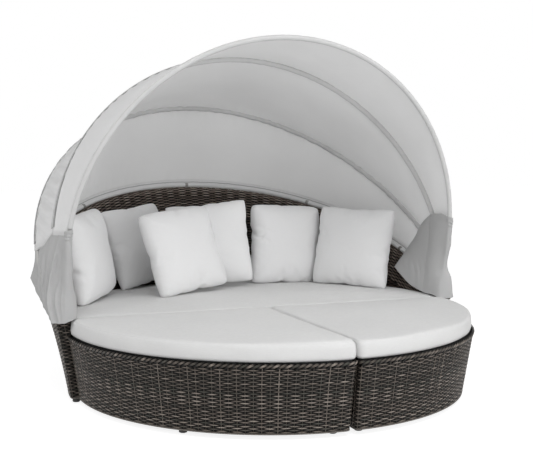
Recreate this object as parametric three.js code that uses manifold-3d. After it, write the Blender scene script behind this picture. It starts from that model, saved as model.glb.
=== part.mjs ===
// Round outdoor daybed with a folding canopy.
// A half-round sofa and two quarter-round ottomans in woven wicker close into one circle.
// Three bows swing on a pivot at each arm, and the canopy cloth runs over them to a rail on the back.
// Millimetres, +Z up, front towards -Y, resting on Z = 0.

import * as THREE from "three";
import { mergeVertices } from "three/addons/utils/BufferGeometryUtils.js";
import Module from "manifold-3d";

const wasm = await Module();
wasm.setup();

// Driving sizes of the woven base
const GROUND_GAP = 22;
const BASE_HEIGHT = 326;
const OTTOMAN_FOOT_RADIUS = 960;
const OTTOMAN_TOP_RADIUS = 1010;
const SKIN = 8;
const MODULE_GAP = 4;
const OTTOMAN_GAP = 8;
const SIDE_DRAFT = 5;
const OTTOMAN_CORNER = 26;

// Driving sizes of the sofa's raised wall
const SOFA_FOOT_RADIUS = 995;
const ARM_RADIUS = 1065;
const BACK_RADIUS = 1465;
const ARM_HEIGHT = 450;
const BACK_HEIGHT = 971;
const RIM_POWER = 1.44;
const WALL = 70;
const LOWER_SLOPE_SHARE = 0.8;

// Seat
const DECK_TOP = 326;
const DECK_THICK = 8;
const REST_GAP = 0.3;
const CUSHION_EDGE = 405;
const SOFA_CUSHION_CROWN = 18;
const OTTOMAN_CUSHION_CROWN = 12;

// Frame tubes and feet
const FRAME_TUBE = 24;
const FOOT_TOP = GROUND_GAP + 1.7;
const FOOT_RADIUS = 19;

// Canopy
const PIVOT_Y = 20;
const PIVOT_Z = 480;
const BOW_TUBE = 9.5;
const BOLT_RADIUS = 5;
const EYE_RADIUS = 15;
const EYE_THICK = 9;
const CLOTH = 2.5;
const BOWS = {
  front: { foot: 1000, reach: 1015, leg: 200, rise: 1070, tilt: 14.8 },
  middle: { foot: 1025, reach: 1047, leg: 200, rise: 1071, tilt: -19.7 },
  rear: { foot: 1050, reach: 1100, leg: 240, rise: 1388, tilt: -53 },
};

// The whole part is moved back by this much so that its box is centred on the origin
const Y_SHIFT = -228;

const DEG = Math.PI / 180;
const HALF = Math.PI / 2;
const OUTER_GAP = MODULE_GAP / 2;

const palette = {
  wicker: { color: 0x4b423c, roughness: 0.75, metalness: 0 },
  frame: { color: 0x3a3634, roughness: 0.5, metalness: 0.6 },
  plastic: { color: 0x1c1b1a, roughness: 0.6, metalness: 0 },
  bow: { color: 0xc9c9c7, roughness: 0.4, metalness: 0.7 },
  steel: { color: 0x9a9a98, roughness: 0.35, metalness: 0.9 },
  cushion: { color: 0xe9e9e8, roughness: 0.9, metalness: 0 },
  pillow: { color: 0xefefee, roughness: 0.9, metalness: 0 },
  canopy: { color: 0xcfcfcf, roughness: 0.85, metalness: 0 },
  deck: { color: 0x37312d, roughness: 0.8, metalness: 0 },
};

const part = new THREE.Group();
part.name = "outdoor_daybed_with_canopy";

function add(name, geometry, finish) {
  const material = new THREE.MeshStandardMaterial({ ...palette[finish], name: finish });
  const mesh = new THREE.Mesh(geometry, material);
  mesh.name = name;
  geometry.translate(0, Y_SHIFT, 0);
  part.add(mesh);
  return mesh;
}

// Mesh helpers

function signedVolume(positions, index) {
  const a = new THREE.Vector3();
  const b = new THREE.Vector3();
  const c = new THREE.Vector3();
  let volume = 0;
  for (let i = 0; i < index.length; i += 3) {
    a.fromArray(positions, index[i] * 3);
    b.fromArray(positions, index[i + 1] * 3);
    c.fromArray(positions, index[i + 2] * 3);
    volume += a.dot(b.cross(c)) / 6;
  }
  return volume;
}

function closedGeometry(points, index) {
  const positions = points.flatMap((p) => [p.x, p.y, p.z]);
  if (signedVolume(positions, index) < 0) {
    for (let i = 0; i < index.length; i += 3) {
      [index[i], index[i + 1]] = [index[i + 1], index[i]];
    }
  }
  const geometry = new THREE.BufferGeometry();
  geometry.setAttribute("position", new THREE.Float32BufferAttribute(positions, 3));
  geometry.setIndex(index);
  geometry.computeVertexNormals();
  return geometry;
}

// Skin over a row of closed loops with equal point counts. The row is capped or closes on itself.
function loft(loops, { ring = false } = {}) {
  const count = loops[0].length;
  const points = loops.flat();
  const index = [];
  const rows = ring ? loops.length : loops.length - 1;
  for (let r = 0; r < rows; r += 1) {
    const lower = r * count;
    const upper = ((r + 1) % loops.length) * count;
    for (let i = 0; i < count; i += 1) {
      const j = (i + 1) % count;
      index.push(lower + i, lower + j, upper + j, lower + i, upper + j, upper + i);
    }
  }
  if (!ring) {
    const last = (loops.length - 1) * count;
    for (const [a, b, c] of capTriangles(loops[0])) {
      index.push(c, b, a);
    }
    for (const [a, b, c] of capTriangles(loops[loops.length - 1])) {
      index.push(last + a, last + b, last + c);
    }
  }
  return closedGeometry(points, index);
}

// Cap of a plane loop, which may be hollow-sided, turned so that it follows the loop's own order
function capTriangles(loop, flat) {
  const normal = new THREE.Vector3();
  for (let i = 0; i < loop.length; i += 1) {
    const a = loop[i];
    const b = loop[(i + 1) % loop.length];
    normal.add(new THREE.Vector3().crossVectors(a, b));
  }
  normal.normalize();
  const helper = Math.abs(normal.z) < 0.9 ? new THREE.Vector3(0, 0, 1) : new THREE.Vector3(1, 0, 0);
  const u = new THREE.Vector3().crossVectors(helper, normal).normalize();
  const v = new THREE.Vector3().crossVectors(normal, u);
  const contour = loop.map((p) => new THREE.Vector2(p.dot(u), p.dot(v)));
  return THREE.ShapeUtils.triangulateShape(contour, []);
}

// Bar of any section along a row of points. `up` holds the section upright, `scale` may flatten it.
function sweep(path, section, up, scale = () => [1, 1]) {
  const loops = path.map((p, i) => {
    const before = path[Math.max(i - 1, 0)];
    const after = path[Math.min(i + 1, path.length - 1)];
    const along = new THREE.Vector3().subVectors(after, before).normalize();
    const side = new THREE.Vector3().crossVectors(up, along).normalize();
    const top = new THREE.Vector3().crossVectors(along, side);
    const [wide, high] = scale(i, path.length);
    return section.map(([x, y]) =>
      p.clone().addScaledVector(side, x * wide).addScaledVector(top, y * high));
  });
  return loft(loops);
}

function roundSection(radius, sides) {
  return Array.from({ length: sides }, (_, i) => {
    const a = (i / sides) * 2 * Math.PI;
    return [radius * Math.cos(a), radius * Math.sin(a)];
  });
}

function boxSection(width, height) {
  const x = width / 2;
  const y = height / 2;
  return [[-x, -y], [x, -y], [x, y], [-x, y]];
}

function toSolid(geometry) {
  const bare = geometry.clone();
  bare.deleteAttribute("normal");
  bare.deleteAttribute("uv");
  const merged = mergeVertices(bare, 1e-3);
  return new wasm.Manifold(new wasm.Mesh({
    numProp: 3,
    vertProperties: new Float32Array(merged.attributes.position.array),
    triVerts: new Uint32Array(merged.index.array),
  }));
}

function fromSolid(solid) {
  const mesh = solid.getMesh();
  const geometry = new THREE.BufferGeometry();
  geometry.setAttribute("position", new THREE.Float32BufferAttribute(mesh.vertProperties, 3));
  geometry.setIndex(Array.from(mesh.triVerts));
  geometry.computeVertexNormals();
  return geometry;
}

function joined(geometries) {
  return geometries.map(toSolid).reduce((sum, next) => sum.add(next));
}

function disc(radius, thick, sides, x, y, z) {
  const geometry = new THREE.CylinderGeometry(radius, radius, thick, sides);
  geometry.rotateZ(HALF);
  geometry.translate(x, y, z);
  return geometry;
}

const vec = (x, y, z) => new THREE.Vector3(x, y, z);
const mix = (a, b, t) => a + (b - a) * t;

// Plan outlines

// Rounded corner points between two directions, counted from the x axis
function fillet(cx, cy, radius, from, to, steps) {
  return Array.from({ length: steps + 1 }, (_, i) => {
    const a = mix(from, to, i / steps);
    return [cx + radius * Math.cos(a), cy + radius * Math.sin(a)];
  });
}

// Quarter-round outline in the first quadrant, inset from both straight sides
function quarterOutline(radius, sideU, sideV, corner, arcSteps = 14) {
  const inner = Math.max(corner, 2);
  const points = fillet(sideU + inner, sideV + inner, inner, Math.PI, 1.5 * Math.PI, 2);
  const vB = sideV + inner;
  const uB = Math.sqrt((radius - inner) ** 2 - vB ** 2);
  const startB = Math.atan2(vB, uB);
  points.push(...fillet(uB, vB, inner, -HALF, startB, 3));
  const uC = sideU + inner;
  const vC = Math.sqrt((radius - inner) ** 2 - uC ** 2);
  const endC = Math.atan2(vC, uC);
  for (let i = 1; i < arcSteps; i += 1) {
    const a = mix(startB, endC, i / arcSteps);
    points.push([radius * Math.cos(a), radius * Math.sin(a)]);
  }
  points.push(...fillet(uC, vC, inner, endC, Math.PI, 3));
  return points;
}

// The sofa's wall: radius and height of the rim around the back, 0 at the rear and 90 degrees at an arm
function rimAt(angle) {
  const share = Math.max(Math.cos(angle), 0) ** RIM_POWER;
  return {
    radius: mix(ARM_RADIUS, BACK_RADIUS, share),
    height: mix(ARM_HEIGHT, BACK_HEIGHT, share),
  };
}

function wallRadius(angle, z) {
  const rim = rimAt(angle);
  const t = (z - GROUND_GAP) / (rim.height - WALL / 2 - GROUND_GAP);
  const bend = LOWER_SLOPE_SHARE * t + (1 - LOWER_SLOPE_SHARE) * t * t;
  return mix(SOFA_FOOT_RADIUS, rim.radius, bend);
}

const onPlan = (angle, radius, z) => vec(radius * Math.sin(angle), radius * Math.cos(angle), z);

// Half-round outline with rounded front corners, following the sloping wall at one height
function halfOutline(radiusAt, front, corner, z, arcSteps = 22) {
  const armRadius = radiusAt(HALF);
  const y = front + corner;
  const x = Math.sqrt((armRadius - corner) ** 2 - y ** 2);
  const meet = Math.atan2(y, x);
  const points = fillet(x, y, corner, -HALF, meet, 3).map((p) => vec(p[0], p[1], z));
  for (let i = 1; i < arcSteps; i += 1) {
    const angle = mix(HALF - meet, meet - HALF, i / arcSteps);
    points.push(onPlan(angle, radiusAt(angle), z));
  }
  const left = fillet(-x, y, corner, Math.PI - meet, 1.5 * Math.PI, 3);
  points.push(...left.map((p) => vec(p[0], p[1], z)));
  return points;
}

// Sofa module

// The wicker is woven round the frame as one skin: up the outside, over the rim and down to the seat
function wallSection(angle) {
  const rim = rimAt(angle);
  const roll = WALL / 2;
  const rollZ = rim.height - roll;
  const rollR = rim.radius - roll;
  const levels = [0, 0.3, 0.62, 0.85, 1].map((t) => mix(GROUND_GAP, rollZ, t));
  const innerLevels = [1, 0.6, 0.25, 0].map((t) => mix(DECK_TOP - DECK_THICK, rollZ, t));
  const arch = (radius, from, to) => [1, 2, 3, 4].map((i) => {
    const a = mix(from, to, i / 5);
    return [rollR + radius * Math.cos(a), rollZ + radius * Math.sin(a)];
  });
  const section = [
    ...levels.map((z) => [wallRadius(angle, z), z]),
    ...arch(roll, 0, Math.PI),
    ...innerLevels.map((z) => [wallRadius(angle, z) - WALL, z]),
    ...[...innerLevels].reverse().map((z) => [wallRadius(angle, z) - WALL + SKIN, z]),
    ...arch(roll - SKIN, Math.PI, 0),
    ...[...levels].reverse().map((z) => [wallRadius(angle, z) - SKIN, z]),
  ];
  return section.map(([r, z]) => onPlan(angle, r, z).add(vec(0, OUTER_GAP, 0)));
}

// Solid slice of the wall that closes each arm at the front
function armEnd(side) {
  const thick = SKIN / ARM_RADIUS;
  const loops = [0, thick].map((back) => {
    const angle = side * (HALF - back);
    const half = wallSection(angle);
    return half.slice(0, half.length / 2);
  });
  return loft(loops);
}

function frontApron() {
  const width = 2 * (wallRadius(HALF, DECK_TOP) - WALL + SKIN);
  const foot = 2 * (wallRadius(HALF, GROUND_GAP) - SKIN / 2);
  const middle = OUTER_GAP + SKIN / 2;
  const corner = (half, z) => [vec(-half, middle, z), vec(half, middle, z)];
  const [lowLeft, lowRight] = corner(foot / 2, GROUND_GAP);
  const [highLeft, highRight] = corner(width / 2, DECK_TOP - DECK_THICK - REST_GAP);
  const offset = (p, y) => p.clone().add(vec(0, y, 0));
  const loops = [-SKIN / 2, SKIN / 2].map((y) =>
    [lowLeft, lowRight, highRight, highLeft].map((p) => offset(p, y)));
  return loft(loops);
}

function sofaShell() {
  const steps = 36;
  const loops = Array.from({ length: steps + 1 }, (_, i) => wallSection(mix(-HALF, HALF, i / steps)));
  const wall = loft(loops);
  return fromSolid(joined([wall, armEnd(-1), armEnd(1), frontApron()]));
}

function sofaDeck() {
  const radiusAt = (z) => (angle) => wallRadius(angle, DECK_TOP - DECK_THICK) - WALL - 1;
  const loops = [DECK_TOP - DECK_THICK, DECK_TOP].map((z) =>
    halfOutline(radiusAt(z), OUTER_GAP + SKIN + 1, 8, z));
  return loft(loops);
}

// Welded frame of square tube hidden in the weave: two D-shaped rings, posts, rim tube and seat bars
function sofaFrame() {
  const half = FRAME_TUBE / 2;
  const inset = SKIN + 9 + half;
  const up = vec(0, 0, 1);
  const ringZ = [GROUND_GAP + 2 + half, DECK_TOP - DECK_THICK - 1 - half];
  const front = OUTER_GAP + SKIN + 3 + half;
  const pieces = [];
  for (const z of ringZ) {
    const square = [[-half, -half], [half, -half], [half, half], [-half, half]];
    const loops = square.map(([d, h]) =>
      halfOutline((angle) => wallRadius(angle, z) - inset - d, front + d, 20 - d, z + h, 16));
    pieces.push(loft(loops, { ring: true }));
  }
  const rimLimit = HALF - 0.03;
  const rimPath = Array.from({ length: 27 }, (_, i) => {
    const angle = mix(-rimLimit, rimLimit, i / 26);
    const rim = rimAt(angle);
    return onPlan(angle, rim.radius - WALL / 2, rim.height - WALL / 2);
  });
  pieces.push(sweep(rimPath, roundSection(half, 6), up));
  for (let i = 0; i <= 8; i += 1) {
    const angle = mix(-HALF + 0.05, HALF - 0.05, i / 8);
    const top = rimAt(angle).height - WALL / 2;
    const post = [0, 0.35, 0.7, 1].map((t) => {
      const z = mix(ringZ[0], top, t);
      return onPlan(angle, wallRadius(angle, z) - mix(inset, WALL / 2, t), z);
    });
    const tangent = vec(Math.cos(angle), -Math.sin(angle), 0);
    pieces.push(sweep(post, boxSection(FRAME_TUBE * 0.9, FRAME_TUBE * 0.9), tangent));
  }
  for (const x of [-500, 0, 500]) {
    const back = Math.sqrt((wallRadius(0, ringZ[1]) - inset) ** 2 - x * x) - Math.abs(x) * 0.12;
    const bar = [vec(x, front, ringZ[1]), vec(x, back, ringZ[1])];
    pieces.push(sweep(bar, boxSection(FRAME_TUBE * 0.9, FRAME_TUBE * 0.9), up));
    const strut = [vec(x, front, ringZ[0]), vec(x, front, ringZ[1])];
    pieces.push(sweep(strut, boxSection(FRAME_TUBE * 0.9, FRAME_TUBE * 0.9), vec(0, 1, 0)));
  }
  return fromSolid(joined(pieces));
}

function foot() {
  const profile = [
    new THREE.Vector2(0, 0),
    new THREE.Vector2(FOOT_RADIUS * 0.82, 0),
    new THREE.Vector2(FOOT_RADIUS, 4),
    new THREE.Vector2(FOOT_RADIUS * 0.9, FOOT_TOP),
    new THREE.Vector2(0, FOOT_TOP),
  ];
  const geometry = new THREE.LatheGeometry(profile, 8);
  geometry.rotateX(HALF);
  return fromSolid(toSolid(geometry));
}

// Soft forms

// Boxed cushion: drawn-in lower edge, full sides, rounded upper edge and a low crown
function cushion(outline, centre, edgeZ, crown) {
  const bottom = DECK_TOP + REST_GAP;
  const side = edgeZ - bottom;
  const profile = [
    [16, 0],
    [4, 0.14],
    [0, 0.48],
    [4, 0.8],
    [16, 0.95],
    [34, 1.02],
  ];
  const rings = profile.map(([inset, share]) => outline(inset, bottom + side * share));
  const rim = rings[rings.length - 1];
  for (const share of [0.72, 0.4]) {
    rings.push(rim.map((p) => {
      const rise = crown * (1 - share ** 2);
      return vec(mix(centre.x, p.x, share), mix(centre.y, p.y, share), edgeZ + side * 0.02 + rise);
    }));
  }
  const points = rings.flat();
  const count = rings[0].length;
  const index = [];
  for (let r = 0; r < rings.length - 1; r += 1) {
    for (let i = 0; i < count; i += 1) {
      const j = (i + 1) % count;
      const a = r * count;
      const b = a + count;
      index.push(a + i, a + j, b + j, a + i, b + j, b + i);
    }
  }
  const low = points.push(vec(centre.x, centre.y, bottom)) - 1;
  const high = points.push(vec(centre.x, centre.y, edgeZ + side * 0.02 + crown)) - 1;
  const last = (rings.length - 1) * count;
  for (let i = 0; i < count; i += 1) {
    const j = (i + 1) % count;
    index.push(low, j, i, high, last + i, last + j);
  }
  return closedGeometry(points, index);
}

function sofaCushion() {
  const outline = (inset, z) =>
    halfOutline((angle) => wallRadius(angle, z) - WALL - 4 - inset, OUTER_GAP + 1 + inset, 40, z);
  return cushion(outline, vec(0, 480, 0), CUSHION_EDGE, SOFA_CUSHION_CROWN);
}

// Scatter pillow: full in the middle, thin at the seam, edges drawn in between the corners
function pillow(size, thick) {
  const n = 10;
  const point = (i, j, face) => {
    const u = (2 * i) / n - 1;
    const v = (2 * j) / n - 1;
    const waist = 0.055;
    const x = u * (size / 2) * (1 - waist * (1 - v * v) * u * u);
    const y = v * (size / 2) * (1 - waist * (1 - u * u) * v * v);
    const fill = Math.max((1 - u * u) * (1 - v * v), 0) ** 0.45;
    return vec(x, y, (face * thick * fill) / 2);
  };
  return pairedGrid(n, n, (i, j) => point(i, j, 1), (i, j) => point(i, j, -1));
}

// Two grids that share their border, as the two faces of a pillow do
function pairedGrid(nu, nv, front, back) {
  const points = [];
  const frontId = [];
  const backId = [];
  for (let i = 0; i <= nu; i += 1) {
    for (let j = 0; j <= nv; j += 1) {
      const border = i === 0 || j === 0 || i === nu || j === nv;
      const id = points.push(front(i, j)) - 1;
      frontId.push(id);
      backId.push(border ? id : points.push(back(i, j)) - 1);
    }
  }
  const index = [];
  for (let i = 0; i < nu; i += 1) {
    for (let j = 0; j < nv; j += 1) {
      const a = i * (nv + 1) + j;
      const b = a + nv + 1;
      index.push(frontId[a], frontId[b], frontId[b + 1], frontId[a], frontId[b + 1], frontId[a + 1]);
      index.push(backId[a], backId[b + 1], backId[b], backId[a], backId[a + 1], backId[b + 1]);
    }
  }
  return closedGeometry(points, index);
}

// Cloth of even thickness through a grid of points
function clothSolid(nu, nv, pointAt, thick) {
  const grid = [];
  for (let i = 0; i <= nu; i += 1) {
    grid.push(Array.from({ length: nv + 1 }, (_, j) => pointAt(i / nu, j / nv)));
  }
  const normalAt = (i, j) => {
    const du = grid[Math.min(i + 1, nu)][j].clone().sub(grid[Math.max(i - 1, 0)][j]);
    const dv = grid[i][Math.min(j + 1, nv)].clone().sub(grid[i][Math.max(j - 1, 0)]);
    return du.cross(dv).normalize();
  };
  const points = [];
  for (const side of [1, -1]) {
    for (let i = 0; i <= nu; i += 1) {
      for (let j = 0; j <= nv; j += 1) {
        points.push(grid[i][j].clone().addScaledVector(normalAt(i, j), (side * thick) / 2));
      }
    }
  }
  const id = (side, i, j) => side * (nu + 1) * (nv + 1) + i * (nv + 1) + j;
  const index = [];
  for (let i = 0; i < nu; i += 1) {
    for (let j = 0; j < nv; j += 1) {
      const quad = (s) => [id(s, i, j), id(s, i + 1, j), id(s, i + 1, j + 1), id(s, i, j + 1)];
      const [a, b, c, d] = quad(0);
      index.push(a, b, c, a, c, d);
      const [e, f, g, h] = quad(1);
      index.push(e, g, f, e, h, g);
    }
  }
  const border = [];
  for (let i = 0; i < nu; i += 1) border.push([i, 0]);
  for (let j = 0; j < nv; j += 1) border.push([nu, j]);
  for (let i = nu; i > 0; i -= 1) border.push([i, nv]);
  for (let j = nv; j > 0; j -= 1) border.push([0, j]);
  border.forEach(([i, j], k) => {
    const [i2, j2] = border[(k + 1) % border.length];
    const a = id(0, i, j);
    const b = id(0, i2, j2);
    const c = id(1, i2, j2);
    const d = id(1, i, j);
    index.push(a, c, b, a, d, c);
  });
  return closedGeometry(points, index);
}

// Canopy

// A bow in its own plane: straight legs up from the pivots, then a half ellipse. 0 and 1 are the pivots.
const LEG_SHARE = 0.16;

function bowPlane(bow, share) {
  const side = share < 0.5 ? -1 : 1;
  const s = share < 0.5 ? share * 2 : (1 - share) * 2;
  if (s < LEG_SHARE) {
    const u = s / LEG_SHARE;
    return [side * (bow.reach - (bow.reach - bow.foot) * (1 - u) ** 2), bow.leg * u];
  }
  const t = ((s - LEG_SHARE) / (1 - LEG_SHARE)) * HALF;
  return [side * bow.reach * Math.cos(t), bow.leg + bow.rise * Math.sin(t)];
}

function bowPoint(bow, share, lift = 0) {
  const [x, w] = bowPlane(bow, share);
  const tilt = bow.tilt * DEG;
  const point = vec(x, PIVOT_Y - Math.sin(tilt) * w, PIVOT_Z + Math.cos(tilt) * w);
  if (lift) {
    const [x0, w0] = bowPlane(bow, Math.max(share - 0.01, 0));
    const [x1, w1] = bowPlane(bow, Math.min(share + 0.01, 1));
    const length = Math.hypot(x1 - x0, w1 - w0);
    const outX = -(w1 - w0) / length;
    const outW = (x1 - x0) / length;
    point.add(vec(outX, -Math.sin(tilt) * outW, Math.cos(tilt) * outW).multiplyScalar(lift));
  }
  return point;
}

// Bent tube whose ends are pressed flat and drilled to turn on the pivot bolts
function bowTube(bow) {
  const steps = 36;
  const start = (LEG_SHARE / 2) * (EYE_RADIUS * 0.6) / bow.leg;
  const path = Array.from({ length: steps + 1 }, (_, i) =>
    bowPoint(bow, mix(start, 1 - start, i / steps)));
  const tilt = bow.tilt * DEG;
  const planeNormal = vec(0, Math.cos(tilt), Math.sin(tilt));
  const flatten = (i, count) => {
    const fromEnd = Math.min(i, count - 1 - i);
    return fromEnd === 0 ? [0.46, 1.35] : fromEnd === 1 ? [0.75, 1.15] : [1, 1];
  };
  const tube = sweep(path, roundSection(BOW_TUBE, 8), planeNormal, flatten);
  const eyes = [-1, 1].map((side) => disc(EYE_RADIUS, EYE_THICK, 16, side * bow.foot, PIVOT_Y, PIVOT_Z));
  let solid = joined([tube, ...eyes]);
  for (const side of [-1, 1]) {
    const hole = disc(BOLT_RADIUS + 0.4, EYE_THICK * 4, 16, side * bow.foot, PIVOT_Y, PIVOT_Z);
    solid = solid.subtract(toSolid(hole));
  }
  return fromSolid(solid);
}

const EAR_INNER = 984;
const EAR_OUTER = 1066;
const EAR_THICK = 5;

// Saddle plate on the arm's rim with two ears that carry the pivot bolt
function pivotBracket(side) {
  const plateLength = 44;
  const plateFront = 4;
  const rimBehind = rimAt(Math.acos((plateFront + plateLength) / ARM_RADIUS)).height;
  const plateZ = rimBehind + REST_GAP + EAR_THICK / 2;
  const plate = new THREE.BoxGeometry(EAR_OUTER - EAR_INNER + EAR_THICK, plateLength, EAR_THICK);
  plate.translate(side * (EAR_OUTER + EAR_INNER) / 2, plateFront + plateLength / 2, plateZ);
  const ears = [EAR_INNER, EAR_OUTER].map((x) => {
    const shape = new THREE.Shape();
    shape.moveTo(-16, 0);
    shape.lineTo(16, 0);
    shape.lineTo(16, PIVOT_Z - plateZ);
    shape.absarc(0, PIVOT_Z - plateZ, 16, 0, Math.PI, false);
    shape.lineTo(-16, 0);
    const ear = new THREE.ExtrudeGeometry(shape, { depth: EAR_THICK, bevelEnabled: false, curveSegments: 6 });
    ear.rotateX(HALF);
    ear.rotateZ(HALF);
    ear.translate(side * x - EAR_THICK / 2, PIVOT_Y, plateZ);
    return ear;
  });
  const hole = disc(BOLT_RADIUS + 0.4, 300, 16, side * (EAR_OUTER + EAR_INNER) / 2, PIVOT_Y, PIVOT_Z);
  return fromSolid(joined([plate, ...ears]).subtract(toSolid(hole)));
}

function pivotBolt(side) {
  const inner = EAR_INNER - EAR_THICK / 2;
  const outer = EAR_OUTER + EAR_THICK / 2;
  const shank = disc(BOLT_RADIUS, outer - inner + 10, 16, side * (outer + inner + 6) / 2, PIVOT_Y, PIVOT_Z);
  const head = disc(9, 5, 6, side * (inner - REST_GAP - 2.5), PIVOT_Y, PIVOT_Z);
  const nut = disc(8.5, 6, 6, side * (outer + REST_GAP + 3), PIVOT_Y, PIVOT_Z);
  return fromSolid(joined([shank, head, nut]));
}

// Fixed rail that lies on the back's rim and holds the rear hem of the canopy
const RAIL_LIFT = BOW_TUBE + 1;
const RAIL_END = 80 * DEG;

function railPoint(share, lift = 0) {
  const angle = mix(-RAIL_END, RAIL_END, share);
  const rim = rimAt(angle);
  return onPlan(angle, rim.radius - WALL / 2, rim.height + RAIL_LIFT + lift).add(vec(0, OUTER_GAP, 0));
}

function rearRail() {
  const path = Array.from({ length: 37 }, (_, i) => railPoint(i / 36));
  return sweep(path, roundSection(BOW_TUBE, 8), vec(0, 0, 1));
}

function railClip(share) {
  const centre = railPoint(share);
  const along = railPoint(share + 0.005).sub(railPoint(share - 0.005)).normalize();
  const path = [-9, 9].map((d) => centre.clone().addScaledVector(along, d));
  const outer = sweep(path, roundSection(BOW_TUBE + 4.5, 12), vec(0, 0, 1));
  const longer = [-20, 20].map((d) => centre.clone().addScaledVector(along, d));
  const bore = sweep(longer, roundSection(BOW_TUBE + 1.4, 12), vec(0, 0, 1));
  const below = [-30, 30].map((d) => centre.clone().addScaledVector(along, d).add(vec(0, 0, -40 - RAIL_LIFT + 1.5)));
  const cut = sweep(below, boxSection(80, 80), vec(0, 0, 1));
  return fromSolid(toSolid(outer).subtract(toSolid(bore)).subtract(toSolid(cut)));
}

// The four lines the canopy runs over, with the share of each where its lower hems end
const CANOPY_LINES = [
  { at: (share) => bowPoint(BOWS.front, share), hem: 0.12, lift: BOW_TUBE + 3 },
  { at: (share) => bowPoint(BOWS.middle, share), hem: 0.12, lift: BOW_TUBE + 3 },
  { at: (share) => bowPoint(BOWS.rear, share), hem: 0.113, lift: BOW_TUBE + 3 },
  { at: (share) => railPoint(share), hem: 0.13, lift: BOW_TUBE + 8 },
];

const onLine = (line, u) => line.at(mix(line.hem, 1 - line.hem, u));

// Outward direction of the cloth between two neighbouring lines
function clothNormal(first, second, u) {
  const ends = [Math.max(u - 0.01, 0), Math.min(u + 0.01, 1)];
  const along = onLine(first, ends[1]).sub(onLine(first, ends[0]));
  const across = onLine(second, u).sub(onLine(first, u));
  return along.cross(across).normalize();
}

// Point of the cloth on a line: pushed out, half-way between the slopes of the two panels that meet there
function clothOver(index, u) {
  const line = CANOPY_LINES[index];
  const normals = [];
  if (index > 0) normals.push(clothNormal(CANOPY_LINES[index - 1], line, u));
  if (index < CANOPY_LINES.length - 1) normals.push(clothNormal(line, CANOPY_LINES[index + 1], u));
  const out = normals.reduce((sum, n) => sum.clone().add(n)).normalize();
  return onLine(line, u).addScaledVector(out, line.lift / Math.max(out.dot(normals[0]), 0.5));
}

// Cloth between two lines: it rides just outside the tubes and sags a little in between
function canopyPanel(index, sag) {
  const seam = 0.006;
  return clothSolid(26, 4, (u, v) => {
    const a = clothOver(index, u);
    const b = clothOver(index + 1, u);
    const out = clothNormal(CANOPY_LINES[index], CANOPY_LINES[index + 1], u);
    return a.lerp(b, mix(seam, 1 - seam, v)).addScaledVector(out, -sag * 4 * v * (1 - v));
  }, CLOTH);
}

// Loose skirt below a canopy panel: vertical folds that deepen towards the hem, and a slight belly
function skirt([topA, topB, lowA, lowB], folds, depth, belly) {
  return clothSolid(11, 6, (u, v) => {
    const top = topA.clone().lerp(topB, u);
    const low = lowA.clone().lerp(lowB, u);
    const wave = depth * (0.25 + 0.75 * v) * (0.5 - 0.5 * Math.cos(u * folds * 2 * Math.PI));
    const bulge = belly * Math.sin(v * Math.PI) * Math.sin(u * Math.PI);
    return top.lerp(low, v).add(vec(-wave - bulge, 0, 0));
  }, CLOTH);
}

// Ottoman modules

function ottomanLoop(side, inset, z, corner = OTTOMAN_CORNER) {
  const t = (z - GROUND_GAP) / (BASE_HEIGHT - GROUND_GAP);
  const draft = SIDE_DRAFT * (1 - t);
  const radius = mix(OTTOMAN_FOOT_RADIUS, OTTOMAN_TOP_RADIUS, t) - inset;
  const outline = quarterOutline(radius, OTTOMAN_GAP / 2 + draft + inset, OUTER_GAP + inset, corner - inset);
  return outline.map(([u, v]) => vec(side * u, -v, z));
}

function ottomanShell(side) {
  const section = [
    [0, GROUND_GAP],
    [0, 170],
    [0, BASE_HEIGHT - 20],
    [-2.5, BASE_HEIGHT - 14],
    [-2.5, BASE_HEIGHT - 4],
    [2, BASE_HEIGHT],
    [34, BASE_HEIGHT],
    [34, BASE_HEIGHT - SKIN],
    [SKIN, BASE_HEIGHT - SKIN],
    [SKIN, 170],
    [SKIN, GROUND_GAP],
  ];
  const loops = section.map(([inset, z]) => ottomanLoop(side, Math.max(inset, -2), z));
  return loft(loops, { ring: true });
}

function ottomanDeck(side) {
  const top = BASE_HEIGHT - SKIN - REST_GAP;
  return loft([ottomanLoop(side, SKIN + 1.5, top - SKIN), ottomanLoop(side, SKIN + 1.5, top)]);
}

function ottomanFrame(side) {
  const half = FRAME_TUBE / 2;
  const inset = SKIN + 7 + half;
  const low = GROUND_GAP + 2 + half;
  const high = BASE_HEIGHT - 2 * SKIN - 2 - half;
  const square = [[-half, -half], [half, -half], [half, half], [-half, half]];
  const pieces = [low, high].map((z) =>
    loft(square.map(([d, h]) => ottomanLoop(side, inset + d, z + h, 60)), { ring: true }));
  const lowLoop = ottomanLoop(side, inset, low, 60);
  const highLoop = ottomanLoop(side, inset, high, 60);
  for (const i of [1, 5, 10, 15, 20]) {
    pieces.push(sweep([lowLoop[i], highLoop[i]], boxSection(FRAME_TUBE * 0.9, FRAME_TUBE * 0.9), vec(0, 1, 0)));
  }
  const bar = [vec(side * 340, -inset, high), vec(side * 340, -Math.sqrt(960 ** 2 - 340 ** 2) + 4, high)];
  pieces.push(sweep(bar, boxSection(FRAME_TUBE * 0.9, FRAME_TUBE * 0.9), vec(0, 0, 1)));
  return fromSolid(joined(pieces));
}

function ottomanCushion(side) {
  const radius = OTTOMAN_TOP_RADIUS - 14;
  const outline = (inset, z) =>
    quarterOutline(radius - inset, OTTOMAN_GAP / 2 + inset, OUTER_GAP + 1 + inset, 46)
      .map(([u, v]) => vec(side * u, -v, z));
  return cushion(outline, vec(side * 430, -430, 0), CUSHION_EDGE, OTTOMAN_CUSHION_CROWN);
}

// Assembly

add("sofa_wicker_shell", sofaShell(), "wicker");
add("sofa_frame", sofaFrame(), "frame");
add("sofa_seat_deck", sofaDeck(), "deck");
add("sofa_seat_cushion", sofaCushion(), "cushion");

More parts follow.
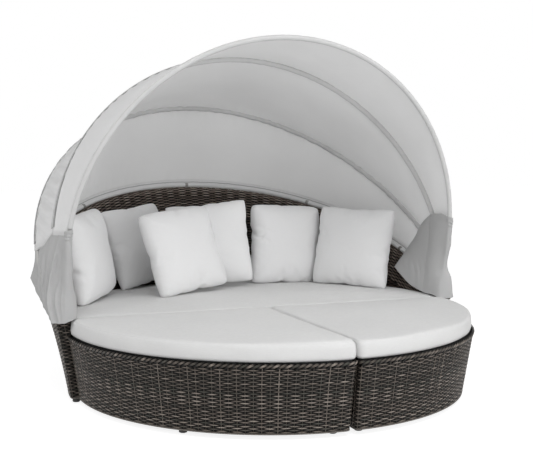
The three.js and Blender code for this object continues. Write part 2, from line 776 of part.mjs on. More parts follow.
const sofaFeet = [
  [-88, 0], [-48, 0], [0, 0], [48, 0], [88, 0], [0, 1],
];
sofaFeet.forEach(([degrees, atFront], i) => {
  const geometry = foot();
  if (atFront) {
    geometry.translate(0, OUTER_GAP + SKIN + 3 + FRAME_TUBE / 2 + 12, 0);
  } else {
    const at = onPlan(degrees * DEG, SOFA_FOOT_RADIUS - SKIN - 3 - FRAME_TUBE / 2 - 8, 0);
    geometry.translate(at.x, at.y + (Math.abs(degrees) > 80 ? 8 : 0), 0);
  }
  add(`sofa_foot_${i + 1}`, geometry, "plastic");
});

const sides = { left: -1, right: 1 };
for (const [word, side] of Object.entries(sides)) {
  add(`${word}_ottoman_wicker_shell`, ottomanShell(side), "wicker");
  add(`${word}_ottoman_frame`, ottomanFrame(side), "frame");
  add(`${word}_ottoman_deck`, ottomanDeck(side), "deck");
  add(`${word}_ottoman_cushion`, ottomanCushion(side), "cushion");
  const feet = [[60, 60], [880, 60], [60, 880], [640, 640]];
  feet.forEach(([u, v], i) => {
    const geometry = foot();
    geometry.translate(side * u, -v, 0);
    add(`${word}_ottoman_foot_${i + 1}`, geometry, "plastic");
  });
}

for (const [word, side] of Object.entries(sides)) {
  add(`${word}_pivot_bracket`, pivotBracket(side), "steel");
  add(`${word}_pivot_bolt`, pivotBolt(side), "steel");
}
for (const [word, bow] of Object.entries(BOWS)) {
  add(`${word}_bow`, bowTube(bow), "bow");
}
add("rear_rail", rearRail(), "bow");
[0.1, 0.3, 0.5, 0.7, 0.9].forEach((share, i) => {
  add(`rail_clip_${i + 1}`, railClip(share), "steel");
});

add("canopy_front_panel", canopyPanel(0, 14), "canopy");
add("canopy_middle_panel", canopyPanel(1, 16), "canopy");
add("canopy_rear_panel", canopyPanel(2, 12), "canopy");

// Skirts over the pivots: outside the arm on the left, drawn inside the arm on the right.
// Corners in order: top front, top rear, low front, low rear.
const skirtCorners = {
  left_skirt_front: [[-1034, -62, 796], [-1066, 140, 786], [-1042, -60, 424], [-1114, 24, 408]],
  left_skirt_rear: [[-1070, 152, 784], [-1116, 330, 706], [-1116, 34, 412], [-1120, 356, 556]],
  right_skirt_front: [[984, -66, 816], [1014, 140, 808], [955, -44, 446], [946, 98, 440]],
  right_skirt_rear: [[1012, 152, 806], [1060, 372, 716], [944, 110, 442], [934, 396, 528]],
};
for (const [name, corners] of Object.entries(skirtCorners)) {
  const folds = name.endsWith("front") ? 2 : 3;
  add(name, skirt(corners.map((c) => vec(...c)), folds, 8, 12), "canopy");
}

// Scatter pillows: centre, turn about the vertical, lean back, roll in their own plane, and how far the
// lowest corner sits below the top of the crown
const PILLOW_SIZE = 460;
const PILLOW_THICK = 165;
const pillows = {
  far_left: [-809, 494, 58, 10, 3, 13],
  left: [-426, 977, 33, 17, 5, 11.5],
  leaning: [-292, 514, 21, 20, 5, 1],
  centre_left: [-88, 702, -21.5, 5, 6, 3.5],
  centre: [410, 774, 9, 5, -3, 18],
  right: [747, 553, -48, 14, -2, 17],
};
for (const [word, [x, y, yaw, lean, roll, sink]] of Object.entries(pillows)) {
  const geometry = pillow(PILLOW_SIZE, PILLOW_THICK);
  geometry.rotateZ(roll * DEG);
  geometry.rotateX(HALF - lean * DEG);
  geometry.rotateZ(yaw * DEG);
  geometry.computeBoundingBox();
  const foot = CUSHION_EDGE + SOFA_CUSHION_CROWN - sink;
  geometry.translate(x, y, foot - geometry.boundingBox.min.z);
  add(`pillow_${word}`, geometry, "pillow");
}

export default part;
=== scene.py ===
import math

import bpy
import numpy as np
from mathutils import Matrix, Vector


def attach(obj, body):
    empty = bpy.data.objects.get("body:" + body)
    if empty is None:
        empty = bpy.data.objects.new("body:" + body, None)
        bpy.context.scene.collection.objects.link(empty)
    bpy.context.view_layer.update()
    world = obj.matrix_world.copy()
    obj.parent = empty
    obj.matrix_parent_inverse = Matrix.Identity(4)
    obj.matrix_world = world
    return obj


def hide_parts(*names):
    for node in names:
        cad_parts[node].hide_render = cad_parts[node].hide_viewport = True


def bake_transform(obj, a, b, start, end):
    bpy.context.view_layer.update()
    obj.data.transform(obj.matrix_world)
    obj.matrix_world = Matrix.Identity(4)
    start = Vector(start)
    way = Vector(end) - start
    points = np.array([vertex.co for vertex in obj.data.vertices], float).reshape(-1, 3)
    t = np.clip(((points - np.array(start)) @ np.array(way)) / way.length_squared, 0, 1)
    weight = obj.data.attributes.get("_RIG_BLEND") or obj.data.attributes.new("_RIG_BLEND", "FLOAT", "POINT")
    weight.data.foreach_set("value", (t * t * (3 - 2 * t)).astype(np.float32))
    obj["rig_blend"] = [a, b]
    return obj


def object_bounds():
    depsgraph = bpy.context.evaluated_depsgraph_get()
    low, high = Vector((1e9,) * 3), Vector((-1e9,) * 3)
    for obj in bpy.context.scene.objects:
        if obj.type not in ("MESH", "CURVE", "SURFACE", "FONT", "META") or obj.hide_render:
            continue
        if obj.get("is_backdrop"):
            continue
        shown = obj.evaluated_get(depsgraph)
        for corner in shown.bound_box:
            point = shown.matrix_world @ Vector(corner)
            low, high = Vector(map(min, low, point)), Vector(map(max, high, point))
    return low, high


# Round outdoor daybed with a folding canopy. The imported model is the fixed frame, and the woven
# skins, the upholstery and the canopy cloth are made here over it.
# Metres, +Z up, front towards -Y. Angles round the back count from the rear, left is negative.

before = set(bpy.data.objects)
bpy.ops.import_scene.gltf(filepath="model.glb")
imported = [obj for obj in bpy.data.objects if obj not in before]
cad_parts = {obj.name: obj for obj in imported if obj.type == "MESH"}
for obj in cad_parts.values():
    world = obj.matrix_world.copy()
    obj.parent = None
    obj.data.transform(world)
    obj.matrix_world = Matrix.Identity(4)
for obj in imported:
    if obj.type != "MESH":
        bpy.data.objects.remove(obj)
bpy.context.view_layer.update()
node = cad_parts


# Camera
# The picture is taken from the left of the front, at about the height of a standing person's chest,
# and looks almost level at the seat.
CAMERA_PLACE = (-1.770, -4.709, 1.141)
CAMERA_DIRECTION = Vector((0.3642, 0.9287, -0.0697))
LENS = 65.2

bpy.ops.object.camera_add(
    location=CAMERA_PLACE,
    rotation=CAMERA_DIRECTION.to_track_quat("-Z", "Y").to_euler(),
)
camera = bpy.context.object
camera.data.lens = LENS
camera.data.sensor_width = 36
bpy.context.scene.camera = camera


# Hidden frames, seat decks and glides
# Welded square steel tube with a dark powder coat stands inside each module. A sling of black
# mesh lies on it under the cushion, and moulded glides carry it a little off the floor.
def tone(red, green, blue):
    """Linear colour of a shade given as on a screen, 0 to 255."""
    def channel(value):
        share = value / 255
        return share / 12.92 if share < 0.04045 else ((share + 0.055) / 1.055) ** 2.4
    return (channel(red), channel(green), channel(blue), 1.0)


def grey(level):
    return tone(level, level, level)


def start_finish(name, colour, roughness, metallic=0.0):
    """New material with its plain values set on the shader itself."""
    finish = bpy.data.materials.new(name)
    finish.use_nodes = True
    shader = finish.node_tree.nodes["Principled BSDF"]
    shader.inputs["Base Color"].default_value = colour
    shader.inputs["Roughness"].default_value = roughness
    shader.inputs["Metallic"].default_value = metallic
    return finish, finish.node_tree, shader


def add_node(tree, kind, **settings):
    made = tree.nodes.new(kind)
    for name, value in settings.items():
        setattr(made, name, value)
    return made


def place(tree, stretch=(1, 1, 1), turn=(0, 0, 0), source="Object"):
    """Coordinates of the piece itself, or its UV map, stretched and turned for a pattern."""
    where = add_node(tree, "ShaderNodeTexCoord")
    mapping = add_node(tree, "ShaderNodeMapping")
    mapping.inputs["Scale"].default_value = stretch
    mapping.inputs["Rotation"].default_value = turn
    tree.links.new(where.outputs[source], mapping.inputs["Vector"])
    return mapping.outputs["Vector"]


def noise(tree, vector, scale, detail=3.0, roughness=0.55):
    made = add_node(tree, "ShaderNodeTexNoise")
    made.inputs["Scale"].default_value = scale
    made.inputs["Detail"].default_value = detail
    made.inputs["Roughness"].default_value = roughness
    tree.links.new(vector, made.inputs["Vector"])
    return made.outputs["Fac"]


def graded(tree, factor, stops):
    """Colour ramp from a list of places and colours."""
    made = add_node(tree, "ShaderNodeValToRGB")
    band = made.color_ramp
    while len(band.elements) < len(stops):
        band.elements.new(0.5)
    for element, (at, colour) in zip(band.elements, stops):
        element.position = at
        element.color = colour
    tree.links.new(factor, made.inputs["Fac"])
    return made.outputs["Color"]


def between(tree, factor, low, high):
    """Number that runs from low to high with the factor."""
    made = add_node(tree, "ShaderNodeMapRange")
    made.inputs["To Min"].default_value = low
    made.inputs["To Max"].default_value = high
    tree.links.new(factor, made.inputs["Value"])
    return made.outputs["Result"]


def combine(tree, operation, first, second):
    made = add_node(tree, "ShaderNodeMath", operation=operation)
    for socket, value in zip(made.inputs, (first, second)):
        if isinstance(value, (int, float)):
            socket.default_value = value
        else:
            tree.links.new(value, socket)
    return made.outputs["Value"]


def tint(tree, factor, first, second, kind="MIX"):
    """Mix of two colours, each a value or a link."""
    made = add_node(tree, "ShaderNodeMix", data_type="RGBA", blend_type=kind)
    sockets = (made.inputs["Factor"], made.inputs[6], made.inputs[7])
    for socket, value in zip(sockets, (factor, first, second)):
        if isinstance(value, (tuple, float, int)):
            socket.default_value = value
        else:
            tree.links.new(value, socket)
    return made.outputs[2]


def raise_surface(tree, shader, height, strength, distance):
    made = add_node(tree, "ShaderNodeBump")
    made.inputs["Strength"].default_value = strength
    made.inputs["Distance"].default_value = distance
    tree.links.new(height, made.inputs["Height"])
    tree.links.new(made.outputs["Normal"], shader.inputs["Normal"])


def powder_coat(name, colour, worn, grain=420.0):
    """Baked coat: a fine orange-peel grain, slight mottling and scuffs that dull it."""
    finish, tree, shader = start_finish(name, colour, 0.5, 0.1)
    where = place(tree)
    mottle = noise(tree, where, 14.0)
    scuffs = noise(tree, place(tree, stretch=(40, 40, 6)), 3.0, detail=6.0, roughness=0.7)
    shade = graded(tree, mottle, [(0.35, colour), (0.7, worn)])
    tree.links.new(shade, shader.inputs["Base Color"])
    tree.links.new(between(tree, scuffs, 0.34, 0.62), shader.inputs["Roughness"])
    raise_surface(tree, shader, noise(tree, where, grain, detail=2.0), 0.25, 0.0004)
    return finish


def wear(names, finish):
    """The named CAD nodes keep their shape and get this finish."""
    for name in names:
        for slot in node[name].material_slots:
            slot.material = finish


frame_coat = powder_coat("frame_coat", tone(46, 43, 41), tone(58, 54, 50))
wear([name for name in node if name.endswith("_frame")], frame_coat)

sling, sling_tree, sling_shader = start_finish("sling_mesh", tone(36, 33, 31), 0.8)
weft = add_node(sling_tree, "ShaderNodeTexWave", bands_direction="X")
warp = add_node(sling_tree, "ShaderNodeTexWave", bands_direction="Y")
for band in (weft, warp):
    band.inputs["Scale"].default_value = 130.0
    sling_tree.links.new(place(sling_tree), band.inputs["Vector"])
threads = combine(sling_tree, "MULTIPLY", weft.outputs["Fac"], warp.outputs["Fac"])
sling_colour = graded(sling_tree, threads, [(0.2, tone(22, 20, 19)), (0.8, tone(52, 48, 44))])
sling_tree.links.new(sling_colour, sling_shader.inputs["Base Color"])
raise_surface(sling_tree, sling_shader, threads, 0.5, 0.0008)
wear([name for name in node if name.endswith("deck")], sling)

glide, glide_tree, glide_shader = start_finish("glide_plastic", tone(30, 29, 28), 0.55)
glide_grain = noise(glide_tree, place(glide_tree), 900.0, detail=1.0)
glide_scuff = noise(glide_tree, place(glide_tree), 60.0, detail=5.0)
glide_colour = graded(glide_tree, glide_scuff, [(0.4, tone(27, 26, 25)), (0.75, tone(48, 46, 43))])
glide_tree.links.new(glide_colour, glide_shader.inputs["Base Color"])
glide_tree.links.new(between(glide_tree, glide_scuff, 0.45, 0.7), glide_shader.inputs["Roughness"])
raise_surface(glide_tree, glide_shader, glide_grain, 0.3, 0.0003)
wear([name for name in node if "_foot_" in name], glide)


# Woven skin of the sofa
# Flat resin strands are woven over and under upright stakes: level rows round the base, the arm
# ends and both sides of the back, and rows that follow the rim over the top. A near-black sheet
# behind the weave is painted shade for the hollow inside the shell and keeps the holes dark.
FRONT_Y = -0.226
FLOOR_GAP = 0.022
DECK_Z = 0.318
BASE_TOP = 0.326
FOOT_RADIUS = 0.995
ARM_RADIUS = 1.065
BACK_RADIUS = 1.465
ARM_HEIGHT = 0.450
BACK_HEIGHT = 0.971
RIM_POWER = 1.44
WALL = 0.070
ROLL = WALL / 2
ROUNDING = 0.012
ROW_PITCH = 0.0081
STAKE_PITCH = 0.034
BACK_STAKES = 112
FRONT_STAKES = 58
END_STAKES = 2
STRAND_WIDE = 0.0057
STRAND_DRAWN_IN = 0.50
STRAND_THICK = 0.0015
STAKE_WIDE = 0.0050
ROW_WANDER = 0.0009
OVER_LONG = 0.36
RIM_STRAND_WIDE = 0.0072
OVER_DEPTH = 0.0008
UNDER_DEPTH = 0.0044
STAKE_DEPTH = 0.0027
RIM_STAKE_DEPTH = 0.0034
RIM_OUTSIDE = 0.030
RIM_INSIDE = 0.130
FOOT_STRAND_WIDE = 0.0078
FOOT_STRAND_THICK = 0.0034
FOOT_STRAND_DEPTH = 0.002
FOOT_STRAND_Z = FLOOR_GAP + 0.004
SHADE_BACKING_DEPTH = 0.0064
SHADE_BACKING_WALL = 0.0012
SHADE_BACKING_FOOT = FLOOR_GAP + 0.002
SHADE_BACKING_REACH = 0.97
SHADE_BACKING_LAP = 0.03


def mix(first, second, share):
    return first + (second - first) * share


def back_share(angle):
    return np.maximum(np.cos(angle), 0) ** RIM_POWER


def rim_radius(angle):
    return mix(ARM_RADIUS, BACK_RADIUS, back_share(angle))


def roll_height(angle):
    """Height of the middle of the rolled rim."""
    return mix(ARM_HEIGHT, BACK_HEIGHT, back_share(angle)) - ROLL


def wall_radius(angle, height):
    climb = (height - FLOOR_GAP) / (roll_height(angle) - FLOOR_GAP)
    return mix(FOOT_RADIUS, rim_radius(angle), 0.8 * climb + 0.2 * climb ** 2)


def on_plan(angle, radius, height):
    height = height + np.zeros_like(angle)
    return np.stack([radius * np.sin(angle), radius * np.cos(angle) + FRONT_Y, height], -1)


def back_angle(along):
    """Angle of a stake of the back, counted from the left arm."""
    return (along / BACK_STAKES - 0.5) * math.pi


def quarter_turn(centre_x, centre_y, radius, start, end):
    angle = np.radians(np.linspace(start, end, 7))
    return np.stack([centre_x + radius * np.cos(angle), centre_y + radius * np.sin(angle)], -1)


def follow(points, marks, along, height):
    """Points of a closed plan outline at the counted stakes."""
    total = marks[-1] - marks[0]
    turn = (along - marks[0]) % total + marks[0]
    x = np.interp(turn, marks, points[:, 0])
    y = np.interp(turn, marks, points[:, 1])
    return np.stack([x, y, np.full_like(x, height)], -1)


def count_by_length(points, first, last):
    steps = np.hypot(*np.diff(points, axis=0).T)
    return first + (last - first) * np.concatenate([[0], np.cumsum(steps)]) / steps.sum()


def wall_line(height, inset, reverse=False):
    """Plan line of one face of the wall between the two rounded front corners, with its stakes."""
    edge = ROUNDING / (ARM_RADIUS - WALL)
    angle = np.linspace(edge - math.pi / 2, math.pi / 2 - edge, 221)
    points = on_plan(angle, wall_radius(angle, height) - inset, height)[:, :2]
    marks = (angle / math.pi + 0.5) * BACK_STAKES
    if reverse:
        return points[::-1], BACK_STAKES - marks[::-1]
    return points, marks


def base_ring(along, height):
    """Closed row under the seat: round the back, then along the straight front."""
    points, marks = wall_line(height, 0)
    reach = points[-1, 0]
    low = FRONT_Y + ROUNDING
    front = np.vstack([
        quarter_turn(reach - ROUNDING, low, ROUNDING, 0, -90),
        quarter_turn(-reach + ROUNDING, low, ROUNDING, -90, -180),
    ])
    total = BACK_STAKES + FRONT_STAKES
    front_marks = count_by_length(front, marks[-1], total + marks[0])
    return follow(np.vstack([points, front[1:]]), np.concatenate([marks, front_marks[1:]]), along, height)


def arm_ring(along, height):
    """Closed row above the seat: outside, arm end, inside, arm end."""
    outside, out_marks = wall_line(height, 0)
    inside, in_marks = wall_line(height, WALL, reverse=True)
    reach = outside[-1, 0]
    low = FRONT_Y + ROUNDING
    right = np.vstack([
        quarter_turn(reach - ROUNDING, low, ROUNDING, 0, -90),
        quarter_turn(reach - WALL + ROUNDING, low, ROUNDING, -90, -180),
    ])
    left = right[::-1] * [-1, 1]
    in_marks = in_marks + BACK_STAKES + END_STAKES
    last = 2 * (BACK_STAKES + END_STAKES)
    right_marks = count_by_length(right, out_marks[-1], in_marks[0])
    left_marks = count_by_length(left, in_marks[-1], last + out_marks[0])
    points = np.vstack([outside, right[1:-1], inside, left[1:]])
    marks = np.concatenate([out_marks, right_marks[1:-1], in_marks, left_marks[1:]])
    return follow(points, marks, along, height)


def outer_back(along, height):
    angle = back_angle(along)
    return on_plan(angle, wall_radius(angle, height), height)


def inner_back(along, height):
    angle = -back_angle(along)
    return on_plan(angle, wall_radius(angle, height) - WALL, height)


def over_rim(along, climb):
    """Up the outside (negative climb), over the rolled rim, and down the inside."""
    angle = back_angle(along)
    middle = roll_height(angle)
    arch = math.pi * ROLL
    climb = climb + np.zeros_like(angle)
    turn = np.clip(climb, 0, arch) / ROLL
    height = middle + np.minimum(climb, 0) - np.maximum(climb - arch, 0) + ROLL * np.sin(turn)
    flank = np.minimum(height, middle)
    radius = wall_radius(angle, flank) - ROLL + ROLL * np.cos(turn)
    return on_plan(angle, radius, height)


def face_of(surface, along, level):
    """Point, outward direction and cross-row direction of a woven face."""
    step, rise = 0.04, 0.0008
    along = np.asarray(along, float)
    centre = surface(along, level)
    run = surface(along + step, level) - surface(along - step, level)
    up = surface(along, level + rise) - surface(along, level - rise)
    out = np.cross(up, run)
    out /= np.linalg.norm(out, axis=-1, keepdims=True)
    run /= np.linalg.norm(run, axis=-1, keepdims=True)
    return centre, out, np.cross(run, out), run


def new_weave():
    return {"points": [], "quads": [], "uv": [], "sunk": [], "count": 0, "strands": 0}


STRAND_SECTION = np.array([[-0.5, -0.5], [-0.27, 0.5], [0.27, 0.5], [0.5, -0.5]])


def lay_strand(weave, centre, out, across, wide, thick, ring=False, sunk=0.0):
    """One flat strand with a crowned face. Its UV map runs in metres along it, one unit for each
    strand. How deep it lies under its neighbours, 0 to 1, is kept for the material, which paints shade by it."""
    count = len(centre)
    wide = np.broadcast_to(wide, count)[:, None, None]
    points = centre[:, None] + across[:, None] * STRAND_SECTION[None, :, :1] * wide
    points += out[:, None] * STRAND_SECTION[None, :, 1:] * thick
    weave["sunk"].append(np.repeat(np.broadcast_to(sunk, count), 4))
    ids = weave["count"] + np.arange(count * 4).reshape(count, 4)
    steps = np.linalg.norm(np.diff(centre, axis=0), axis=1)
    metres = np.concatenate([[0], np.cumsum(steps)])
    here, there = ids[:-1], ids[1:]
    from_m, to_m = metres[:-1], metres[1:]
    if ring:
        here, there = ids, np.roll(ids, -1, axis=0)
        from_m, to_m = metres, np.append(metres[1:], metres[-1] + np.linalg.norm(centre[0] - centre[-1]))
    quads = np.stack([here, there, np.roll(there, -1, 1), np.roll(here, -1, 1)], -1)
    side = weave["strands"] + 0.02 + np.arange(4) * 0.24
    u = np.stack([from_m, to_m, to_m, from_m], -1)[:, None, :].repeat(4, 1)
    v = np.stack([side, side, side + 0.24, side + 0.24], -1)[None].repeat(len(here), 0)
    weave["points"].append(points.reshape(-1, 3))
    weave["quads"].append(quads.reshape(-1, 4))
    weave["uv"].append(np.stack([u, v], -1).reshape(-1, 2))
    if not ring:
        weave["quads"].append(np.array([ids[0], ids[-1][::-1]]))
        weave["uv"].append(np.full((8, 2), [0.0, weave["strands"] + 0.5]))
    weave["count"] += count * 4
    weave["strands"] += 1


def eased(points, size, seed, terms=18):
    """Smooth uneven field over points, about -1 to 1, with swells of the given size."""
    draw = np.random.default_rng(seed)
    waves = draw.normal(size=(terms, 3))
    waves *= (2 * math.pi / size) / np.linalg.norm(waves, axis=1, keepdims=True)
    waves *= draw.uniform(0.6, 1.4, size=(terms, 1))
    starts = draw.uniform(0, 2 * math.pi, terms)
    return np.sin(points @ waves.T + starts).sum(-1) / math.sqrt(terms / 2) / 1.6


def lay_row(weave, surface, level, row, along, ring=False, wide=STRAND_WIDE):
    """Level strand, over and under the stakes by turns and a little uneven in height and width."""
    centre, out, across, _ = face_of(surface, along, level)
    swing = (0.5 + 0.5 * np.cos(math.pi * (along + row))) ** OVER_LONG
    depth = mix(UNDER_DEPTH, OVER_DEPTH, swing)
    where = np.stack([along * STAKE_PITCH, np.full_like(along, row * 0.37), 0 * along], -1)
    inner = np.clip(np.minimum(along - along[0], along[-1] - along) / 2, 0, 1)
    rise = ROW_WANDER * eased(where, 0.085, 7) * inner
    wide = wide * mix(STRAND_DRAWN_IN, 1, swing) * (1 + 0.16 * eased(where, 0.12, 9) * inner)
    centre = centre - out * depth[:, None] + across * rise[:, None]
    # The depth value, 1 - swing, paints shade where the row dives under the stakes
    lay_strand(weave, centre, out, across, wide, STRAND_THICK, ring, 1 - swing)


def lay_stakes(weave, surface, marks, levels, depth=STAKE_DEPTH):
    """Upright strands at whole stakes, through the given levels, with painted shade that varies a little
    from stake to stake and is deeper on the deeper stakes.
    """
    faces = [face_of(surface, marks, level) for level in levels]
    centre, out, _, run = (np.array([face[i] for face in faces]) for i in range(4))
    for i in range(len(marks)):
        own = 0.22 + 0.05 * math.sin(2.4 * i) + 0.04 * math.sin(0.9 * i)
        lay_strand(weave, centre[:, i] - out[:, i] * depth, out[:, i], -run[:, i],
                   STAKE_WIDE, STRAND_THICK, sunk=own + 0.25 * (depth > STAKE_DEPTH))


def add_piece(name, mesh):
    """Puts a finished mesh into the scene as a piece of its own."""
    piece = bpy.data.objects.new(name, mesh)
    bpy.context.collection.objects.link(piece)
    return piece


def pick(piece):
    """Makes one piece the selected and active one, so that a modifier can be applied to it."""
    bpy.ops.object.select_all(action="DESELECT")
    bpy.context.view_layer.objects.active = piece
    piece.select_set(True)


def woven_piece(name, weave, finish, body, stands_for):
    points = np.concatenate(weave["points"])
    quads = np.concatenate(weave["quads"])
    mesh = bpy.data.meshes.new(name)
    mesh.from_pydata(points.tolist(), [], quads.tolist())
    layer = mesh.uv_layers.new(name="strand")
    layer.data.foreach_set("uv", np.concatenate(weave["uv"]).ravel())
    sunk = mesh.attributes.new("sunk", "FLOAT", "POINT")
    sunk.data.foreach_set("value", np.concatenate(weave["sunk"]).astype(np.float32))
    mesh.materials.append(finish)
    mesh.shade_smooth()
    piece = add_piece(name, mesh)
    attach(piece, body)
    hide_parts(stands_for)


def level_rows(first, last):
    """Heights and running numbers of the level rows between two heights."""
    count = int((last - first) / ROW_PITCH)
    number = round((first - FLOOR_GAP) / ROW_PITCH)
    return [(first + (i + 0.5) * (last - first) / count, number + i) for i in range(count)]


def quarter_steps(start, end):
    """Stations four to a stake between two counts, with the exact ends."""
    inner = np.arange(math.ceil(start * 4 + 0.4), math.floor(end * 4 - 0.4) + 1) / 4
    return np.concatenate([[start], inner, [end]])


def reach_at(height):
    """Counts of the stakes between which the rolled rim stands above a height."""
    share = max((height + ROLL - ARM_HEIGHT) / (BACK_HEIGHT - ARM_HEIGHT), 0)
    turn = math.acos(min(share ** (1 / RIM_POWER), 1))
    return (0.5 - turn / math.pi) * BACK_STAKES, (0.5 + turn / math.pi) * BACK_STAKES


def strand_finish(name, shades, gloss):
    """Extruded resin strand: each strand has its own shade, with long streaks and a fine grain along it,
    and painted shade where it lies deep under its neighbours.
    """
    finish, tree, shader = start_finish(name, shades[1], 0.5)
    where = add_node(tree, "ShaderNodeTexCoord")
    parts = add_node(tree, "ShaderNodeSeparateXYZ")
    tree.links.new(where.outputs["UV"], parts.inputs["Vector"])
    number = combine(tree, "FLOOR", parts.outputs["Y"], 0.0)
    own = add_node(tree, "ShaderNodeTexWhiteNoise", noise_dimensions="1D")
    tree.links.new(number, own.inputs["W"])
    drift = noise(tree, place(tree, stretch=(6.5, 7.3, 1), source="UV"), 1.0, detail=2.0)
    streak = noise(tree, place(tree, stretch=(14, 9, 1), source="UV"), 3.0, detail=4.0, roughness=0.65)
    choice = combine(tree, "ADD", combine(tree, "MULTIPLY", own.outputs["Value"], 0.45),
                     combine(tree, "MULTIPLY", drift, 0.55))
    base = graded(tree, choice, [(0.27, shades[0]), (0.45, shades[1]), (0.58, shades[2]), (0.72, shades[3])])
    streaks = graded(tree, streak, [(0.3, grey(90)), (0.72, tone(215, 210, 204))])
    light = tint(tree, 0.55, base, streaks, "OVERLAY")
    # Painted shade: the colour darkens and the specular falls where the depth value says the strand lies
    # under its neighbours
    depth = add_node(tree, "ShaderNodeAttribute", attribute_name="sunk")
    painted_recess_shade = graded(tree, depth.outputs["Fac"], [(0.08, grey(255)), (0.34, tone(124, 122, 120)),
                                                (0.56, tone(16, 15, 14))])
    tree.links.new(tint(tree, 1.0, light, painted_recess_shade, "MULTIPLY"), shader.inputs["Base Color"])
    tree.links.new(between(tree, streak, gloss, gloss + 0.22), shader.inputs["Roughness"])
    tree.links.new(between(tree, depth.outputs["Fac"], 0.5, 0.0), shader.inputs["Specular IOR Level"])
    grain = noise(tree, place(tree, stretch=(60, 26, 1), source="UV"), 2.0, detail=3.0)
    raise_surface(tree, shader, grain, 0.35, 0.0005)
    return finish


wicker_strand = strand_finish(
    "wicker_strand", [tone(56, 56, 48), tone(82, 74, 67), tone(114, 105, 97), tone(158, 149, 141)], 0.36)
# Lighter and darker copies of the same strand colour: painted light on the rim and painted shade on the
# inside of the back
rim_strand_painted_light = strand_finish(
    "rim_strand_painted_light", [tone(104, 92, 84), tone(130, 117, 108), tone(154, 141, 132), tone(180, 168, 158)], 0.4)
inside_strand_painted_shade = strand_finish(
    "inside_strand_painted_shade", [tone(44, 34, 29), tone(58, 45, 39), tone(74, 60, 52), tone(98, 82, 72)], 0.4)
pale_strand = strand_finish(
    "pale_strand", [tone(84, 80, 74), tone(96, 91, 86), tone(108, 103, 98), tone(122, 117, 112)], 0.4)

base_total = BACK_STAKES + FRONT_STAKES
ring_total = 2 * (BACK_STAKES + END_STAKES)
half_way = 0.170
first_row = FLOOR_GAP + 0.008
arm_top = ARM_HEIGHT - ROLL - RIM_OUTSIDE

for name, low, high in (("sofa_weave_low", first_row, half_way), ("sofa_weave_seat_level", half_way, DECK_Z)):
    weave = new_weave()
    for height, row in level_rows(low, high):
        lay_row(weave, base_ring, height, row, np.arange(base_total * 4) / 4, ring=True)
    lay_stakes(weave, base_ring, np.arange(base_total, dtype=float), np.linspace(low, high, 4))
    woven_piece(name, weave, wicker_strand, "sofa", "sofa_wicker_shell")

weave = new_weave()
for height, row in level_rows(DECK_Z, arm_top):
    lay_row(weave, arm_ring, height, row, np.arange(ring_total * 4) / 4, ring=True)
lay_stakes(weave, arm_ring, np.arange(ring_total, dtype=float), np.linspace(DECK_Z, arm_top, 3))
woven_piece("sofa_weave_arm_level", weave, wicker_strand, "sofa", "sofa_wicker_shell")

for name, surface, border, finish, wide, depth in (
        ("sofa_weave_outside", outer_back, RIM_OUTSIDE, wicker_strand, STRAND_WIDE, STAKE_DEPTH),
        ("sofa_weave_inside", inner_back, RIM_INSIDE, inside_strand_painted_shade, RIM_STRAND_WIDE, RIM_STAKE_DEPTH)):
    weave = new_weave()
    for height, row in level_rows(arm_top, BACK_HEIGHT - ROLL - border):
        start, end = reach_at(height + border)
        if end - start > 1:
            lay_row(weave, surface, height, row, quarter_steps(start, end), wide=wide)
    marks = np.arange(1.0, BACK_STAKES)
    top = np.maximum(roll_height(back_angle(marks)) - border, arm_top)
    tall = top > arm_top + ROW_PITCH
    levels = [mix(arm_top, top[tall], share) for share in np.linspace(0, 1, 9)]
    lay_stakes(weave, surface, marks[tall], levels, depth)
    woven_piece(name, weave, finish, "sofa", "sofa_wicker_shell")

weave = new_weave()
arch = math.pi * ROLL
climbs = np.arange(-RIM_OUTSIDE + ROW_PITCH / 2, arch + RIM_INSIDE, ROW_PITCH)
for row, climb in enumerate(climbs):
    inside = climb - arch
    start, end = (0.0, float(BACK_STAKES)) if inside < RIM_OUTSIDE else reach_at(arm_top + inside)
    lay_row(weave, over_rim, climb, row, quarter_steps(start, end), wide=RIM_STRAND_WIDE)
marks = np.arange(0.0, BACK_STAKES + 1)
depth_inside = np.clip(roll_height(back_angle(marks)) - arm_top, RIM_OUTSIDE, RIM_INSIDE)
stations = [np.full_like(marks, climb) for climb in np.linspace(-RIM_OUTSIDE, arch, 13)]
stations += [arch + depth_inside * share for share in (0.25, 0.5, 0.75, 1.0)]
lay_stakes(weave, over_rim, marks, stations, RIM_STAKE_DEPTH)
woven_piece("sofa_weave_rim", weave, rim_strand_painted_light, "sofa", "sofa_wicker_shell")


def arm_disc_rows(weave, side):
    """Short level rows that close the round end of the rim at an arm, clipped to the roll."""
    middle = ARM_HEIGHT - ROLL
    for height, row in level_rows(arm_top, ARM_HEIGHT - 0.004):
        rise = max(height - middle, 0)
        half = math.sqrt(ROLL ** 2 - rise ** 2) - 0.002
        centre_x = side * (ARM_RADIUS - ROLL)
        x = np.linspace(centre_x - half, centre_x + half, 9)
        centre = np.stack([x, np.full_like(x, FRONT_Y), np.full_like(x, height)], -1)
        swing = 0.5 + 0.5 * np.cos(math.pi * ((x - centre_x) / STAKE_PITCH + row))
        out = np.tile([0.0, -1.0, 0.0], (len(x), 1))
        across = np.tile([0.0, 0.0, 1.0], (len(x), 1))
        centre[:, 1] += mix(UNDER_DEPTH, OVER_DEPTH, swing)
        lay_strand(weave, centre, out, across, STRAND_WIDE, STRAND_THICK)


weave = new_weave()
for side in (-1, 1):
    arm_disc_rows(weave, side)
woven_piece("sofa_weave_arm_ends", weave, wicker_strand, "sofa", "sofa_wicker_shell")


def foot_strand(surface, stakes):
    """One thicker strand that runs round the foot of a woven skin."""
    weave = new_weave()
    centre, out, across, _ = face_of(surface, np.arange(stakes * 2) / 2, FOOT_STRAND_Z)
    lay_strand(weave, centre - out * FOOT_STRAND_DEPTH, out, across,
               FOOT_STRAND_WIDE, FOOT_STRAND_THICK, ring=True)
    return weave


woven_piece("sofa_foot_strand", foot_strand(base_ring, base_total), pale_strand, "sofa", "sofa_wicker_shell")
